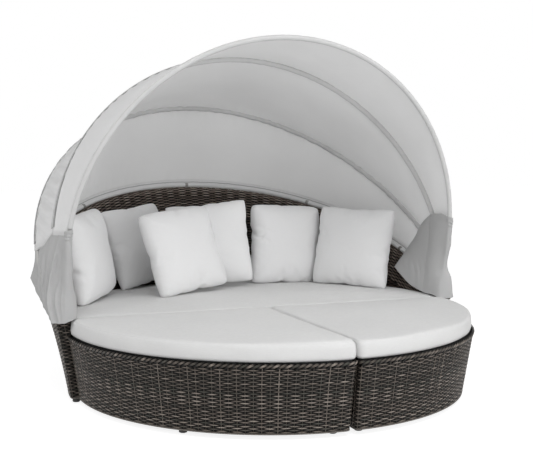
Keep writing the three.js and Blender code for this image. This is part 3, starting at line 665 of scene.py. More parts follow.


# A near-black sheet behind the weave: painted shade for the hollow inside the woven shell
def shade_backing_cloth():
    finish, tree, shader = start_finish("shade_backing_cloth", tone(14, 13, 12), 0.95)
    fuzz = noise(tree, place(tree), 240.0, detail=4.0)
    shade = graded(tree, fuzz, [(0.3, tone(9, 8, 8)), (0.8, tone(22, 20, 18))])
    tree.links.new(shade, shader.inputs["Base Color"])
    raise_surface(tree, shader, fuzz, 0.3, 0.0008)
    return finish


def grid_piece(name, grids, finish, wall=0.0):
    """Smooth piece from one or more grids of points, with a wall thickness if one is given."""
    points, quads, first = [], [], 0
    for grid in grids:
        rows, columns = grid.shape[:2]
        ids = first + np.arange(rows * columns).reshape(rows, columns)
        quads.append(np.stack([ids[:-1, :-1], ids[:-1, 1:], ids[1:, 1:], ids[1:, :-1]], -1).reshape(-1, 4))
        points.append(grid.reshape(-1, 3))
        first += rows * columns
    mesh = bpy.data.meshes.new(name)
    mesh.from_pydata(np.concatenate(points).tolist(), [], np.concatenate(quads).tolist())
    mesh.materials.append(finish)
    mesh.shade_smooth()
    piece = add_piece(name, mesh)
    if wall:
        pick(piece)
        solid = piece.modifiers.new("wall", "SOLIDIFY")
        solid.thickness = wall
        solid.offset = -1
        bpy.ops.object.modifier_apply(modifier=solid.name)
    return piece


shade_backing = shade_backing_cloth()


def behind_weave(surface, along, levels):
    """Grid of points behind a woven face, at the depth of the dark shade backing."""
    rows = []
    for level in levels:
        centre, out, _, _ = face_of(surface, along, level)
        rows.append(centre - out * SHADE_BACKING_DEPTH)
    return np.array(rows)


def front_shade_backings():
    """Flat dark shade backing behind the apron, and one that fills the round end of each arm."""
    y = FRONT_Y + SHADE_BACKING_DEPTH
    apron = [[(x, y, z) for x in np.linspace(-reach, reach, 9)]
             for reach, z in ((FOOT_RADIUS - 0.004, SHADE_BACKING_FOOT), (ARM_RADIUS - WALL, DECK_Z))]
    plates = [np.array(apron)[:, ::-1]]
    roll_z = ARM_HEIGHT - ROLL
    heights = np.append(np.linspace(SHADE_BACKING_FOOT, roll_z, 8), roll_z + ROLL * np.sin(np.linspace(0.2, 1.4, 6)))
    for side in (-1, 1):
        columns = []
        for z in heights:
            rise = max(z - roll_z, 0)
            half = math.sqrt(ROLL ** 2 - rise ** 2) - 0.005
            middle = float(wall_radius(np.array(math.pi / 2), min(z, roll_z))) - ROLL
            columns.append([(side * middle + d, y, z) for d in np.linspace(half, -half, 3)])
        plates.append(np.array(columns))
    return plates


marks = np.linspace(0, BACK_STAKES, BACK_STAKES + 1)
middles = roll_height(back_angle(marks))
up_outside = [mix(SHADE_BACKING_FOOT, middles, share) for share in np.linspace(0, SHADE_BACKING_REACH, 12)]
up_inside = [mix(DECK_Z, middles[::-1], share) for share in np.linspace(0, SHADE_BACKING_REACH, 10)]
round_shade_backings = [
    behind_weave(outer_back, marks, up_outside),
    behind_weave(over_rim, marks, np.linspace(-SHADE_BACKING_LAP, arch + SHADE_BACKING_LAP, 17)),
    behind_weave(inner_back, marks, up_inside),
]
sofa_shade_backing = grid_piece("sofa_shade_backing", round_shade_backings + front_shade_backings(), shade_backing, wall=SHADE_BACKING_WALL)
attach(sofa_shade_backing, "sofa")
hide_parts("sofa_wicker_shell")


# Woven skins of the ottomans
# Each quarter-round ottoman is woven in the same way round its two straight sides and its arc. The
# strands end in a slanting braid that folds over the top edge to the cushion.
OTTOMAN_FOOT = 0.960
OTTOMAN_TOP = 1.010
OTTOMAN_SIDE_GAP = 0.004
OTTOMAN_FRONT_GAP = 0.002
OTTOMAN_CORNER = 0.026
SIDE_DRAFT = 0.005
OTTOMAN_STAKES = 102
BRAID_START = 0.304
BRAID_PITCH = 0.75
BRAID_LEAN = -2.4
BRAID_STRAND_WIDE = 0.0102
BRAID_STRAND_THICK = 0.0018
WHOLE_BACK = -0.228
# Inset and height of the edge of the dark shade backing as it turns in under the braid
SHADE_BACKING_LEDGE = [
    (0.0055, BRAID_START - 0.006), (0.0055, BASE_TOP - 0.006),
    (0.0090, BASE_TOP - 0.0035), (0.0340, BASE_TOP - 0.0035),
]


def corner_arc(centre_u, centre_v, radius, start, end, steps):
    angle = np.linspace(start, end, steps)
    return np.stack([centre_u + radius * np.cos(angle), centre_v + radius * np.sin(angle)], -1)


def quarter_outline(radius, side_u, side_v, corner):
    """Quarter-round outline with three rounded corners, as distances from the two straight sides."""
    far_v = side_v + corner
    far_u = math.sqrt((radius - corner) ** 2 - far_v ** 2)
    near_u = side_u + corner
    near_v = math.sqrt((radius - corner) ** 2 - near_u ** 2)
    start, end = math.atan2(far_v, far_u), math.atan2(near_v, near_u)
    return np.vstack([
        corner_arc(near_u, far_v, corner, math.pi, 1.5 * math.pi, 7),
        corner_arc(far_u, far_v, corner, -math.pi / 2, start, 9),
        corner_arc(0, 0, radius, start, end, 120)[1:-1],
        corner_arc(near_u, near_v, corner, end, math.pi, 9),
    ])


def ottoman_outline(side, inset, height):
    climb = (height - FLOOR_GAP) / (BASE_TOP - FLOOR_GAP)
    radius = mix(OTTOMAN_FOOT, OTTOMAN_TOP, climb) - inset
    draft = SIDE_DRAFT * (1 - climb)
    outline = quarter_outline(radius, OTTOMAN_SIDE_GAP + draft + inset, OTTOMAN_FRONT_GAP + inset,
                              max(OTTOMAN_CORNER - inset, 0.004))
    points = np.stack([side * outline[:, 0], WHOLE_BACK - outline[:, 1]], -1)
    if side < 0:
        points = points[::-1]
    return np.vstack([points, points[:1]])


def ottoman_face(side):
    """Woven face of one ottoman: up the outside, then over the top edge and in along the ledge."""
    def surface(along, climb):
        climb = float(np.ravel(climb)[0])
        height = min(climb, BASE_TOP)
        inset = max(climb - BASE_TOP + 0.003, 0.0) - 0.0018 * (climb > BRAID_START)
        points = ottoman_outline(side, inset, height)
        marks = count_by_length(points, 0, OTTOMAN_STAKES)
        return follow(points, marks, np.asarray(along, float), height)
    return surface


def braid(weave, side):
    """Slanting border strands that lie over each other like shingles and fold over the top edge."""
    face = ottoman_face(side)
    steps = np.linspace(0, 1, 9)
    climbs = mix(BRAID_START - 0.002, BASE_TOP + 0.016, steps ** 0.9)
    starts = np.arange(round(OTTOMAN_STAKES / BRAID_PITCH)) * BRAID_PITCH
    faces = []
    for step, climb in zip(steps, climbs):
        faces.append(face_of(face, starts + BRAID_LEAN * step, climb))
    centre, out = (np.array([found[i] for found in faces]) for i in range(2))
    for i in range(len(starts)):
        line = centre[:, i]
        normal = out[:, i]
        along = np.gradient(line, axis=0)
        along /= np.linalg.norm(along, axis=1, keepdims=True)
        across = np.cross(normal, along)
        lift = 0.0004 - 0.0034 * np.abs(2 * steps - 1) ** 2
        # Both ends are painted dark as shade: the lower end where it tucks under its neighbour, the upper
        # part under the cushion's edge
        ends = np.clip(np.maximum(0.30 - steps, steps - 0.42) * 3.0, 0, 1)
        lay_strand(weave, line + normal * lift[:, None], normal, across,
                   BRAID_STRAND_WIDE, BRAID_STRAND_THICK, sunk=0.06 + 0.94 * ends)


bodies = {-1: "left_ottoman", 1: "right_ottoman"}
for side, body in bodies.items():
    face = ottoman_face(side)
    shell = body + "_wicker_shell"
    weave = new_weave()
    for height, row in level_rows(first_row, BRAID_START):
        lay_row(weave, face, height, row, np.arange(OTTOMAN_STAKES * 4) / 4, ring=True)
    stakes = np.arange(OTTOMAN_STAKES, dtype=float)
    lay_stakes(weave, face, stakes, np.linspace(first_row, BRAID_START + 0.004, 4))
    woven_piece(body + "_weave", weave, wicker_strand, body, shell)
    weave = new_weave()
    braid(weave, side)
    woven_piece(body + "_braid", weave, wicker_strand, body, shell)
    woven_piece(body + "_foot_strand", foot_strand(face, OTTOMAN_STAKES), pale_strand, body, shell)
    ring = np.linspace(0, OTTOMAN_STAKES, 205)
    wall = behind_weave(face, ring, [SHADE_BACKING_FOOT, 0.12, 0.22, BRAID_START - 0.004])
    top = np.array([np.insert(ottoman_outline(side, inset, height), 2, height, axis=1)
                    for inset, height in SHADE_BACKING_LEDGE])
    shade_backing_piece = grid_piece(body + "_liner", [wall, top], shade_backing, wall=SHADE_BACKING_WALL)
    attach(shade_backing_piece, body)
    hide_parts(shell)


# Seat cushions
# Boxed foam slabs in off-white outdoor cloth: one half-round for the sofa and a quarter-round for
# each ottoman. A border strip is sewn between the top and the bottom, so two fine seams run round
# the edge. The top is a little crowned and the cloth is eased, not stretched.
CUSHION_FLOOR = 0.3263
CUSHION_EDGE = 0.405
CUSHION_PROFILE = [
    (0.0165, 0.000), (0.0095, 0.030), (0.0050, 0.062), (0.0036, 0.078), (0.0020, 0.094), (0.0006, 0.200),
    (0.0000, 0.380), (0.0000, 0.560), (0.0006, 0.720), (0.0022, 0.860), (0.0044, 0.918), (0.0066, 0.936),
    (0.0064, 0.958), (0.0105, 1.000), (0.0180, 1.034), (0.0300, 1.058), (0.0460, 1.070),
]
CROWN_START = 0.07
CROWN_SHARES = (0.93, 0.86, 0.78, 0.7, 0.61, 0.52, 0.43, 0.34, 0.25, 0.17, 0.09)
CUSHION_GAP = 0.004
CUSHION_FRONT_GAP = 0.003
CUSHION_CORNER = 0.014
OTTOMAN_CUSHION_RADIUS = 0.996
SEAT_MIDDLE = 0.480
SEAT_CROWN = 0.018
OTTOMAN_MIDDLE = 0.430
OTTOMAN_CROWN = 0.012


def upholstery(name, base, thread_scale, soft_shade):
    """Outdoor cloth: a fine plain weave, faint slubs, a little sheen and slight shading where it is worn."""
    finish, tree, shader = start_finish(name, base, 0.86)
    where = place(tree)
    wide = noise(tree, where, 2.6, detail=2.0)
    slubs = noise(tree, place(tree, stretch=(1, 1, 9)), 55.0, detail=3.0)
    cloud = tint(tree, wide, base, soft_shade)
    slub_shade = graded(tree, slubs, [(0.35, grey(150)), (0.65, grey(225))])
    shaded = tint(tree, 0.10, cloud, slub_shade, "OVERLAY")
    tree.links.new(shaded, shader.inputs["Base Color"])
    bands = []
    for direction in ("X", "Y", "Z"):
        band = add_node(tree, "ShaderNodeTexWave", bands_direction=direction)
        band.inputs["Scale"].default_value = thread_scale
        band.inputs["Distortion"].default_value = 0.4
        tree.links.new(where, band.inputs["Vector"])
        bands.append(band.outputs["Fac"])
    threads = combine(tree, "ADD", combine(tree, "ADD", bands[0], bands[1]), bands[2])
    fuzz = noise(tree, where, 700.0, detail=2.0)
    height = combine(tree, "ADD", combine(tree, "MULTIPLY", threads, 0.4), fuzz)
    raise_surface(tree, shader, height, 0.28, 0.0006)
    tree.links.new(between(tree, fuzz, 0.8, 0.95), shader.inputs["Roughness"])
    shader.inputs["Sheen Weight"].default_value = 0.12
    shader.inputs["Sheen Roughness"].default_value = 0.5
    return finish


cushion_cloth = upholstery("cushion_cloth", tone(222, 222, 221), 150.0, grey(216))


def half_outline(radius_at, front, corner, steps=170):
    """Half-round plan outline with rounded front corners, counted in even lengths."""
    arm = float(radius_at(np.array(math.pi / 2)))
    y = front + corner
    x = math.sqrt((arm - corner) ** 2 - y ** 2)
    meet = math.atan2(y, x)
    angle = np.linspace(math.pi / 2 - meet, meet - math.pi / 2, 160)
    radius = radius_at(angle)
    arc = np.stack([radius * np.sin(angle), radius * np.cos(angle)], -1)
    points = np.vstack([
        corner_arc(x, y, corner, -math.pi / 2, meet, 12)[:-1],
        arc,
        corner_arc(-x, y, corner, math.pi - meet, 1.5 * math.pi, 12)[1:],
    ])
    return spread_evenly(points, steps)


def spread_evenly(points, steps):
    closed = np.vstack([points, points[:1]])
    share = count_by_length(closed, 0, 1)
    even = np.arange(steps) / steps
    return np.stack([np.interp(even, share, closed[:, 0]), np.interp(even, share, closed[:, 1])], -1)


def cushion_rings(outline, centre, crown):
    """Closed rings from the underside, up the border and over the crowned top."""
    side = CUSHION_EDGE - CUSHION_FLOOR
    rings = []
    first = outline(CUSHION_PROFILE[0][0], CUSHION_FLOOR)
    for share in (0.12, 0.5, 0.9):
        rings.append(np.column_stack([mix(centre, first, share), np.full(len(first), CUSHION_FLOOR)]))
    for inset, share in CUSHION_PROFILE:
        height = CUSHION_FLOOR + side * share
        plan = outline(inset, height)
        rings.append(np.column_stack([plan, np.full(len(plan), height)]))
    rim = rings[-1][:, :2]
    for share in CROWN_SHARES:
        height = CUSHION_EDGE + side * CROWN_START + crown * (1 - share ** 2)
        rings.append(np.column_stack([mix(centre, rim, share), np.full(len(rim), height)]))
    return np.array(rings)


def ring_piece(name, rings, finish):
    """Closed smooth piece through rings of points, with both ends drawn to a point."""
    count = rings.shape[1]
    points = rings.reshape(-1, 3)
    ends = [rings[0].mean(0), rings[-1].mean(0)]
    ids = np.arange(len(points)).reshape(rings.shape[:2])
    here, there = ids[:-1], ids[1:]
    quads = np.stack([here, np.roll(here, -1, 1), np.roll(there, -1, 1), there], -1).reshape(-1, 4).tolist()
    low, high = len(points), len(points) + 1
    for i in range(count):
        j = (i + 1) % count
        quads.append([low, int(ids[0, j]), int(ids[0, i])])
        quads.append([high, int(ids[-1, i]), int(ids[-1, j])])
    mesh = bpy.data.meshes.new(name)
    mesh.from_pydata(np.vstack([points, ends]).tolist(), [], quads)
    mesh.materials.append(finish)
    mesh.shade_smooth()
    piece = add_piece(name, mesh)
    if enclosed(mesh) < 0:
        mesh.flip_normals()
    return piece


def enclosed(mesh):
    """Signed volume, to tell whether the faces point outwards."""
    mesh.calc_loop_triangles()
    points = np.array([v.co for v in mesh.vertices])
    corners = np.array([t.vertices for t in mesh.loop_triangles])
    a, b, c = points[corners[:, 0]], points[corners[:, 1]], points[corners[:, 2]]
    return float((a * np.cross(b, c)).sum() / 6)


def ease_cushion(rings, seed):
    """Lets the cloth ripple a little along the seams and swell over the top."""
    points = rings.copy()
    height = points[..., 2]
    top = np.clip((height - CUSHION_EDGE + 0.004) / 0.012, 0, 1)
    border = np.clip((height - CUSHION_FLOOR) / 0.01, 0, 1) * (1 - top)
    middle = points[..., :2].mean(axis=(0, 1))
    outward = points[..., :2] - middle
    outward /= np.linalg.norm(outward, axis=-1, keepdims=True) + 1e-9
    points[..., 2] += top * (0.0030 * eased(rings, 0.55, seed) + 0.0007 * eased(rings, 0.10, seed + 1))
    puckers = eased(rings * [1, 1, 0.4], 0.045, seed + 2) * 0.0007
    puckers += eased(rings * [1, 1, 3.0], 0.16, seed + 3) * 0.0012
    points[..., :2] += outward * (border * puckers)[..., None]
    return points


def sofa_cushion_outline(inset, height):
    plan = half_outline(lambda angle: wall_radius(angle, height) - WALL - CUSHION_GAP - inset,
                        CUSHION_FRONT_GAP + inset, CUSHION_CORNER)
    return plan + [0, WHOLE_BACK]


def ottoman_cushion_outline(side):
    """Outline of an ottoman's cushion, the same at every height."""
    def outline(inset, _):
        corners = quarter_outline(OTTOMAN_CUSHION_RADIUS - inset, CUSHION_GAP + inset,
                                  CUSHION_FRONT_GAP + inset, CUSHION_CORNER)
        plan = spread_evenly(corners, 150)
        return np.stack([side * plan[:, 0], WHOLE_BACK - plan[:, 1]], -1)
    return outline


seat_rings = cushion_rings(sofa_cushion_outline, np.array([0.0, SEAT_MIDDLE + WHOLE_BACK]), SEAT_CROWN)
seat_cushion = ring_piece("sofa_seat_upholstery", ease_cushion(seat_rings, 3), cushion_cloth)
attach(seat_cushion, "sofa")
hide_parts("sofa_seat_cushion")
for side, body in bodies.items():
    centre = np.array([side * OTTOMAN_MIDDLE, WHOLE_BACK - OTTOMAN_MIDDLE])
    rings = cushion_rings(ottoman_cushion_outline(side), centre, OTTOMAN_CROWN)
    piece = ring_piece(body + "_upholstery", ease_cushion(rings, 11 + side), cushion_cloth)
    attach(piece, body)
    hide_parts(body + "_cushion")


# Scatter pillows
# Six loose pillows: two square panels of white cloth sewn edge to edge and stuffed with fibre. The
# stuffing draws the seams in, so they pucker between the corners.
PILLOW_SIZE = 0.464
PILLOW_THICK = 0.166
PILLOW_STEPS = 54
TAPER = 0.07
BOW_IN = 0.016
PANELS_APART = 0.013
CUT_OVER = 1.04
SOLVER_FRAMES = 22
SOLVER_SHARE = 0.36
pillow_cloth = upholstery("pillow_cloth", grey(238), 170.0, tone(234, 234, 235))


def sewn_grid():
    across = np.linspace(-1, 1, PILLOW_STEPS + 1)
    return np.meshgrid(across, across, indexing="ij")


def two_panels(x, y, half_thick):
    """Points of both panels, which share the points along their four sewn edges."""
    front = np.stack([x, y, half_thick], -1).reshape(-1, 3)
    back = np.stack([x, y, -half_thick], -1)[1:-1, 1:-1].reshape(-1, 3)
    return np.vstack([front, back])


def flat_pillow(size, seed):
    """Two panels with tapered corners, sewn at their edges and only just apart, before the stuffing."""
    u, v = sewn_grid()
    x = u * (1 - TAPER * v ** 2) * size / 2
    y = v * (1 - TAPER * u ** 2) * size / 2
    apart = PANELS_APART * np.sqrt(np.clip((1 - u ** 2) * (1 - v ** 2), 0, 1))
    ripple = eased(np.stack([x, y, 0 * x], -1), 0.07, seed) * 0.0022 * (apart > 0)
    points = two_panels(x, y, apart)
    points[:, 2] += two_panels(x, y, ripple)[:, 2] * np.sign(points[:, 2])
    count = PILLOW_STEPS + 1
    front = np.arange(count * count).reshape(count, count)
    back = front.copy()
    back[1:-1, 1:-1] = count * count + np.arange((count - 2) ** 2).reshape(count - 2, count - 2)
    quads = np.concatenate([
        np.stack([front[:-1, :-1], front[1:, :-1], front[1:, 1:], front[:-1, 1:]], -1).reshape(-1, 4),
        np.stack([back[:-1, :-1], back[:-1, 1:], back[1:, 1:], back[1:, :-1]], -1).reshape(-1, 4),
    ])
    mesh = bpy.data.meshes.new("pillow")
    mesh.from_pydata(points.tolist(), [], quads.tolist())
    return add_piece("pillow", mesh)


def read_points(piece):
    points = np.zeros(len(piece.data.vertices) * 3)
    piece.data.vertices.foreach_get("co", points)
    return points.reshape(-1, 3)


def write_points(piece, points):
    piece.data.vertices.foreach_set("co", points.ravel())
    piece.data.update()


def stuff(piece, pressure):
    """Blows the sewn panels up with the cloth solver and keeps the result as the mesh."""
    pick(piece)
    cloth = piece.modifiers.new("stuffing", "CLOTH")
    settings = cloth.settings
    settings.quality = 6
    settings.mass = 0.25
    settings.tension_stiffness = 40
    settings.compression_stiffness = 40
    settings.shear_stiffness = 12
    settings.bending_stiffness = 1.2
    settings.air_damping = 4
    settings.use_pressure = True
    settings.uniform_pressure_force = pressure
    settings.effector_weights.gravity = 0
    cloth.collision_settings.use_collision = False
    cloth.point_cache.frame_start = 1
    cloth.point_cache.frame_end = SOLVER_FRAMES
    scene = bpy.context.scene
    for frame_number in range(1, SOLVER_FRAMES + 1):
        scene.frame_set(frame_number)
    bpy.ops.object.modifier_apply(modifier=cloth.name)
    scene.frame_set(1)


def plump_form(seed):
    """Well filled pillow: nearly straight sides, fat flanks, rounded corners and puckers at the seams."""
    u, v = sewn_grid()
    full = ((1 - np.abs(u) ** 4.6) * (1 - np.abs(v) ** 4.6)).clip(0, 1) ** 0.5
    rounded = 1 - 0.062 * np.abs(u * v) ** 7
    x = u * (1 - BOW_IN * (1 - v ** 2)) * rounded * PILLOW_SIZE / 2
    y = v * (1 - BOW_IN * (1 - u ** 2)) * rounded * PILLOW_SIZE / 2
    flat = np.stack([x, y, 0 * x], -1)
    from_seam = (1 - np.maximum(np.abs(u), np.abs(v))) * PILLOW_SIZE / 2
    drawn = 0.4 + 0.6 * np.clip(eased(flat, 0.16, seed + 1) + 0.4, 0, 1)
    puckers = 0.0042 * eased(flat, 0.032, seed) * drawn * np.exp(-from_seam / 0.022)
    slack = 0.0035 * eased(flat, 0.17, seed + 2) * full
    points = two_panels(x, y, full * PILLOW_THICK / 2 + (puckers + slack) * (full > 0))
    swell = two_panels(x, y, full)[:, 2] ** 2
    points[:, :2] *= 1 + 0.010 * (eased(points, 0.04, seed + 3) * swell)[:, None]
    return points


def fit_size(points):
    """Brings a stuffed form to the size of the pillow."""
    spread = np.ptp(points, axis=0)
    centred = points - (points.max(0) + points.min(0)) / 2
    return centred * [PILLOW_SIZE / spread[0], PILLOW_SIZE / spread[1], PILLOW_THICK / spread[2]]


def stuffed_pillow(seed, pressure):
    """The solver gives the puckers and creases, and the even form takes most of the draw-in back."""
    piece = flat_pillow(PILLOW_SIZE * CUT_OVER, seed)
    stuff(piece, pressure)
    blown = fit_size(read_points(piece))
    write_points(piece, fit_size(mix(plump_form(seed), blown, SOLVER_SHARE)))
    return piece


pillow_moulds = [stuffed_pillow(5, 7.0), stuffed_pillow(8, 8.5)]
# Name, centre of its foot, turn about the upright, lean back, roll in its own plane, height of the
# lowest corner, which stuffed form it is, and how that form is turned over
PILLOWS = [
    ("pillow_far_left", -0.809, 0.494, 58, 10, 3, 0.410, 0, (1, 1)),
    ("pillow_left", -0.426, 0.977, 33, 17, 5, 0.4115, 1, (-1, 1)),
    ("pillow_leaning", -0.292, 0.514, 21, 20, 5, 0.422, 0, (-1, -1)),
    ("pillow_centre_left", -0.088, 0.702, -21.5, 5, 6, 0.4195, 1, (1, -1)),
    ("pillow_centre", 0.410, 0.774, 9, 5, -3, 0.405, 0, (1, -1)),
    ("pillow_right", 0.747, 0.553, -48, 14, -2, 0.406, 1, (1, 1)),
]
for name, x, y, turn, lean, roll, foot, mould, (flip_u, flip_v) in PILLOWS:
    mesh = pillow_moulds[mould].data.copy()
    piece = add_piece(name + "_stuffed", mesh)
    points = read_points(piece) * [flip_u, flip_v, flip_u * flip_v]
    stand = (Matrix.Rotation(math.radians(turn), 3, "Z") @ Matrix.Rotation(math.radians(90 - lean), 3, "X")
             @ Matrix.Rotation(math.radians(roll), 3, "Z"))
    points = points @ np.array(stand).T
    middle = (points.max(0) + points.min(0)) / 2
    points += [x - middle[0], y + WHOLE_BACK - middle[1], foot - points[:, 2].min()]
    write_points(piece, points)
    if enclosed(mesh) < 0:
        mesh.flip_normals()
    pick(piece)
    finer = piece.modifiers.new("finer", "SUBSURF")
    finer.levels = finer.render_levels = 1
    bpy.ops.object.modifier_apply(modifier=finer.name)
    mesh.materials.append(pillow_cloth)
    mesh.shade_smooth()
    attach(piece, "sofa")
    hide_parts(name)
for mould in pillow_moulds:
    bpy.data.objects.remove(mould)


# Bows, rail, brackets and bolts
# Bent aluminium tube with a pale powder coat. Each bow's pressed ends turn on one zinc-plated bolt in
# a saddle bracket on the arm, and clips hold the rear rail down on the rim.
tube_coat = powder_coat("tube_coat", tone(196, 196, 194), tone(178, 178, 176), grain=500.0)
wear(["front_bow", "middle_bow", "rear_bow", "rear_rail"], tube_coat)

plated, plated_tree, plated_shader = start_finish("plated_steel", tone(168, 167, 163), 0.34, 0.9)
plated_spots = noise(plated_tree, place(plated_tree), 160.0, detail=5.0)
plated_brush = noise(plated_tree, place(plated_tree, stretch=(1, 30, 30)), 40.0, detail=2.0)
plated_colour = graded(plated_tree, plated_spots, [(0.4, tone(172, 171, 168)), (0.72, tone(140, 138, 132))])
plated_tree.links.new(plated_colour, plated_shader.inputs["Base Color"])
plated_tree.links.new(between(plated_tree, plated_brush, 0.25, 0.5), plated_shader.inputs["Roughness"])
wear([name for name in node if "pivot" in name or "clip" in name], plated)


# Canopy
# Three panels of pale grey polyester are sewn together over the bows. Sleeves round the tubes hold
# the cloth, and the last panel ends in a sleeve round the rail on the rim of the back. Each panel
# hangs a little slack between its two bows, and folds between them as they swing back.
PIVOT_Y = -0.208
PIVOT_Z = 0.480
LEG_SHARE = 0.16
TUBE = 0.0095
CLOTH_THICK = 0.0014
BOWS = {
    "front": (1.000, 1.015, 0.200, 1.070, 14.8),
    "middle": (1.025, 1.047, 0.200, 1.071, -19.7),
    "rear": (1.050, 1.100, 0.240, 1.388, -53.0),
}


def bow_line(name, share):
    """Centre line of a bow: straight legs up from the pivots, then a half ellipse, all leaning."""
    foot, reach, leg, rise, lean = BOWS[name]
    side = np.where(share < 0.5, -1.0, 1.0)
    way = np.where(share < 0.5, share, 1 - share) * 2
    up = np.minimum(way / LEG_SHARE, 1)
    round_over = np.maximum((way - LEG_SHARE) / (1 - LEG_SHARE), 0) * math.pi / 2
    straight = way < LEG_SHARE
    x = np.where(straight, reach - (reach - foot) * (1 - up) ** 2, reach * np.cos(round_over))
    height = np.where(straight, leg * up, leg + rise * np.sin(round_over))
    tilt = math.radians(lean)
    return np.stack([side * x, PIVOT_Y - math.sin(tilt) * height, PIVOT_Z + math.cos(tilt) * height], -1)


def rail_line(share):
    angle = np.radians(mix(-80.0, 80.0, share))
    return on_plan(angle, rim_radius(angle) - ROLL, roll_height(angle) + ROLL + TUBE + 0.001)


# Line, share of it below which the cloth is cut off, and how far the cloth stands off its middle
CANOPY_LINES = [
    (lambda share: bow_line("front", share), 0.120, TUBE + 0.003),
    (lambda share: bow_line("middle", share), 0.120, TUBE + 0.003),
    (lambda share: bow_line("rear", share), 0.113, TUBE + 0.003),
    (rail_line, 0.130, TUBE + 0.008),
]


def on_line(index, u):
    line, hem, _ = CANOPY_LINES[index]
    return line(mix(hem, 1 - hem, u))


def unit(vectors):
    return vectors / np.linalg.norm(vectors, axis=-1, keepdims=True)


def cloth_out(index, u):
    """Outward direction of the cloth between a line and the next."""
    along = on_line(index, u + 0.01) - on_line(index, u - 0.01)
    across = on_line(index + 1, u) - on_line(index, u)
    return unit(np.cross(along, across))


def line_out(index, u):
    """Outward direction at a line, half-way between the panels that meet there."""
    faces = [cloth_out(i, u) for i in (index - 1, index) if 0 <= i < len(CANOPY_LINES) - 1]
    return unit(sum(faces)), faces[0]


def cloth_over(index, u):
    out, face = line_out(index, u)
    lift = CANOPY_LINES[index][2] / np.maximum((out * face).sum(-1), 0.5)
    return on_line(index, u) + out * lift[:, None]


def canopy_cloth(name, dull, light, through):
    """Coated polyester: very fine weave, slight cloudiness, a soft dull sheen, dark stitched seams with
    painted shade along their grooves, and a share of the light that comes through from behind."""
    finish, tree, shader = start_finish(name, grey(light), 0.72)
    wide = noise(tree, place(tree), 1.7, detail=3.0)
    cloud = graded(tree, wide, [(0.3, grey(dull)), (0.7, grey(light))])
    weave_map = place(tree, source="UV")
    fine = noise(tree, place(tree, stretch=(1, 6, 1), source="UV"), 260.0, detail=2.0)
    weave_shade = graded(tree, fine, [(0.35, grey(150)), (0.65, grey(220))])
    shaded = tint(tree, 0.08, cloud, weave_shade, "OVERLAY")
    # Along the seams the colour is darkened, for the dark thread and as painted shade of the groove beside it
    seam_mark = add_node(tree, "ShaderNodeAttribute", attribute_name="seam")
    thread_and_painted_seam_shade = graded(tree, seam_mark.outputs["Fac"], [(0.08, grey(255)), (0.5, grey(176)), (1.0, grey(128))])
    sewn = tint(tree, 1.0, shaded, thread_and_painted_seam_shade, "MULTIPLY")
    tree.links.new(sewn, shader.inputs["Base Color"])
    threads = []
    for direction in ("X", "Y"):
        band = add_node(tree, "ShaderNodeTexWave", bands_direction=direction)
        band.inputs["Scale"].default_value = 240.0
        tree.links.new(weave_map, band.inputs["Vector"])
        threads.append(band.outputs["Fac"])
    height = combine(tree, "ADD", combine(tree, "MULTIPLY", threads[0], threads[1]), fine)
    raise_surface(tree, shader, height, 0.2, 0.0004)
    tree.links.new(between(tree, fine, 0.62, 0.8), shader.inputs["Roughness"])
    backlit = add_node(tree, "ShaderNodeBsdfTranslucent")
    tree.links.new(sewn, backlit.inputs["Color"])
    both = add_node(tree, "ShaderNodeMixShader")
    both.inputs["Fac"].default_value = through
    tree.links.new(shader.outputs["BSDF"], both.inputs[1])
    tree.links.new(backlit.outputs["BSDF"], both.inputs[2])
    tree.links.new(both.outputs["Shader"], tree.nodes["Material Output"].inputs["Surface"])
    return finish


canopy_finish = canopy_cloth("canopy_cloth", 237, 244, 0.40)
sleeve_finish = canopy_cloth("sleeve_cloth", 200, 208, 0.0)
rail_finish = canopy_cloth("rail_cloth", 226, 234, 0.1)
# The skirts use a darker copy of the canopy cloth: painted shade, besides less light through
skirt_painted_shade_finish = canopy_cloth("skirt_cloth_painted_shade", 192, 202, 0.22)


def steps_along(middle, axis):
    """Distances between neighbouring points of a grid of cloth."""
    return np.linalg.norm(np.diff(middle, axis=axis), axis=-1)


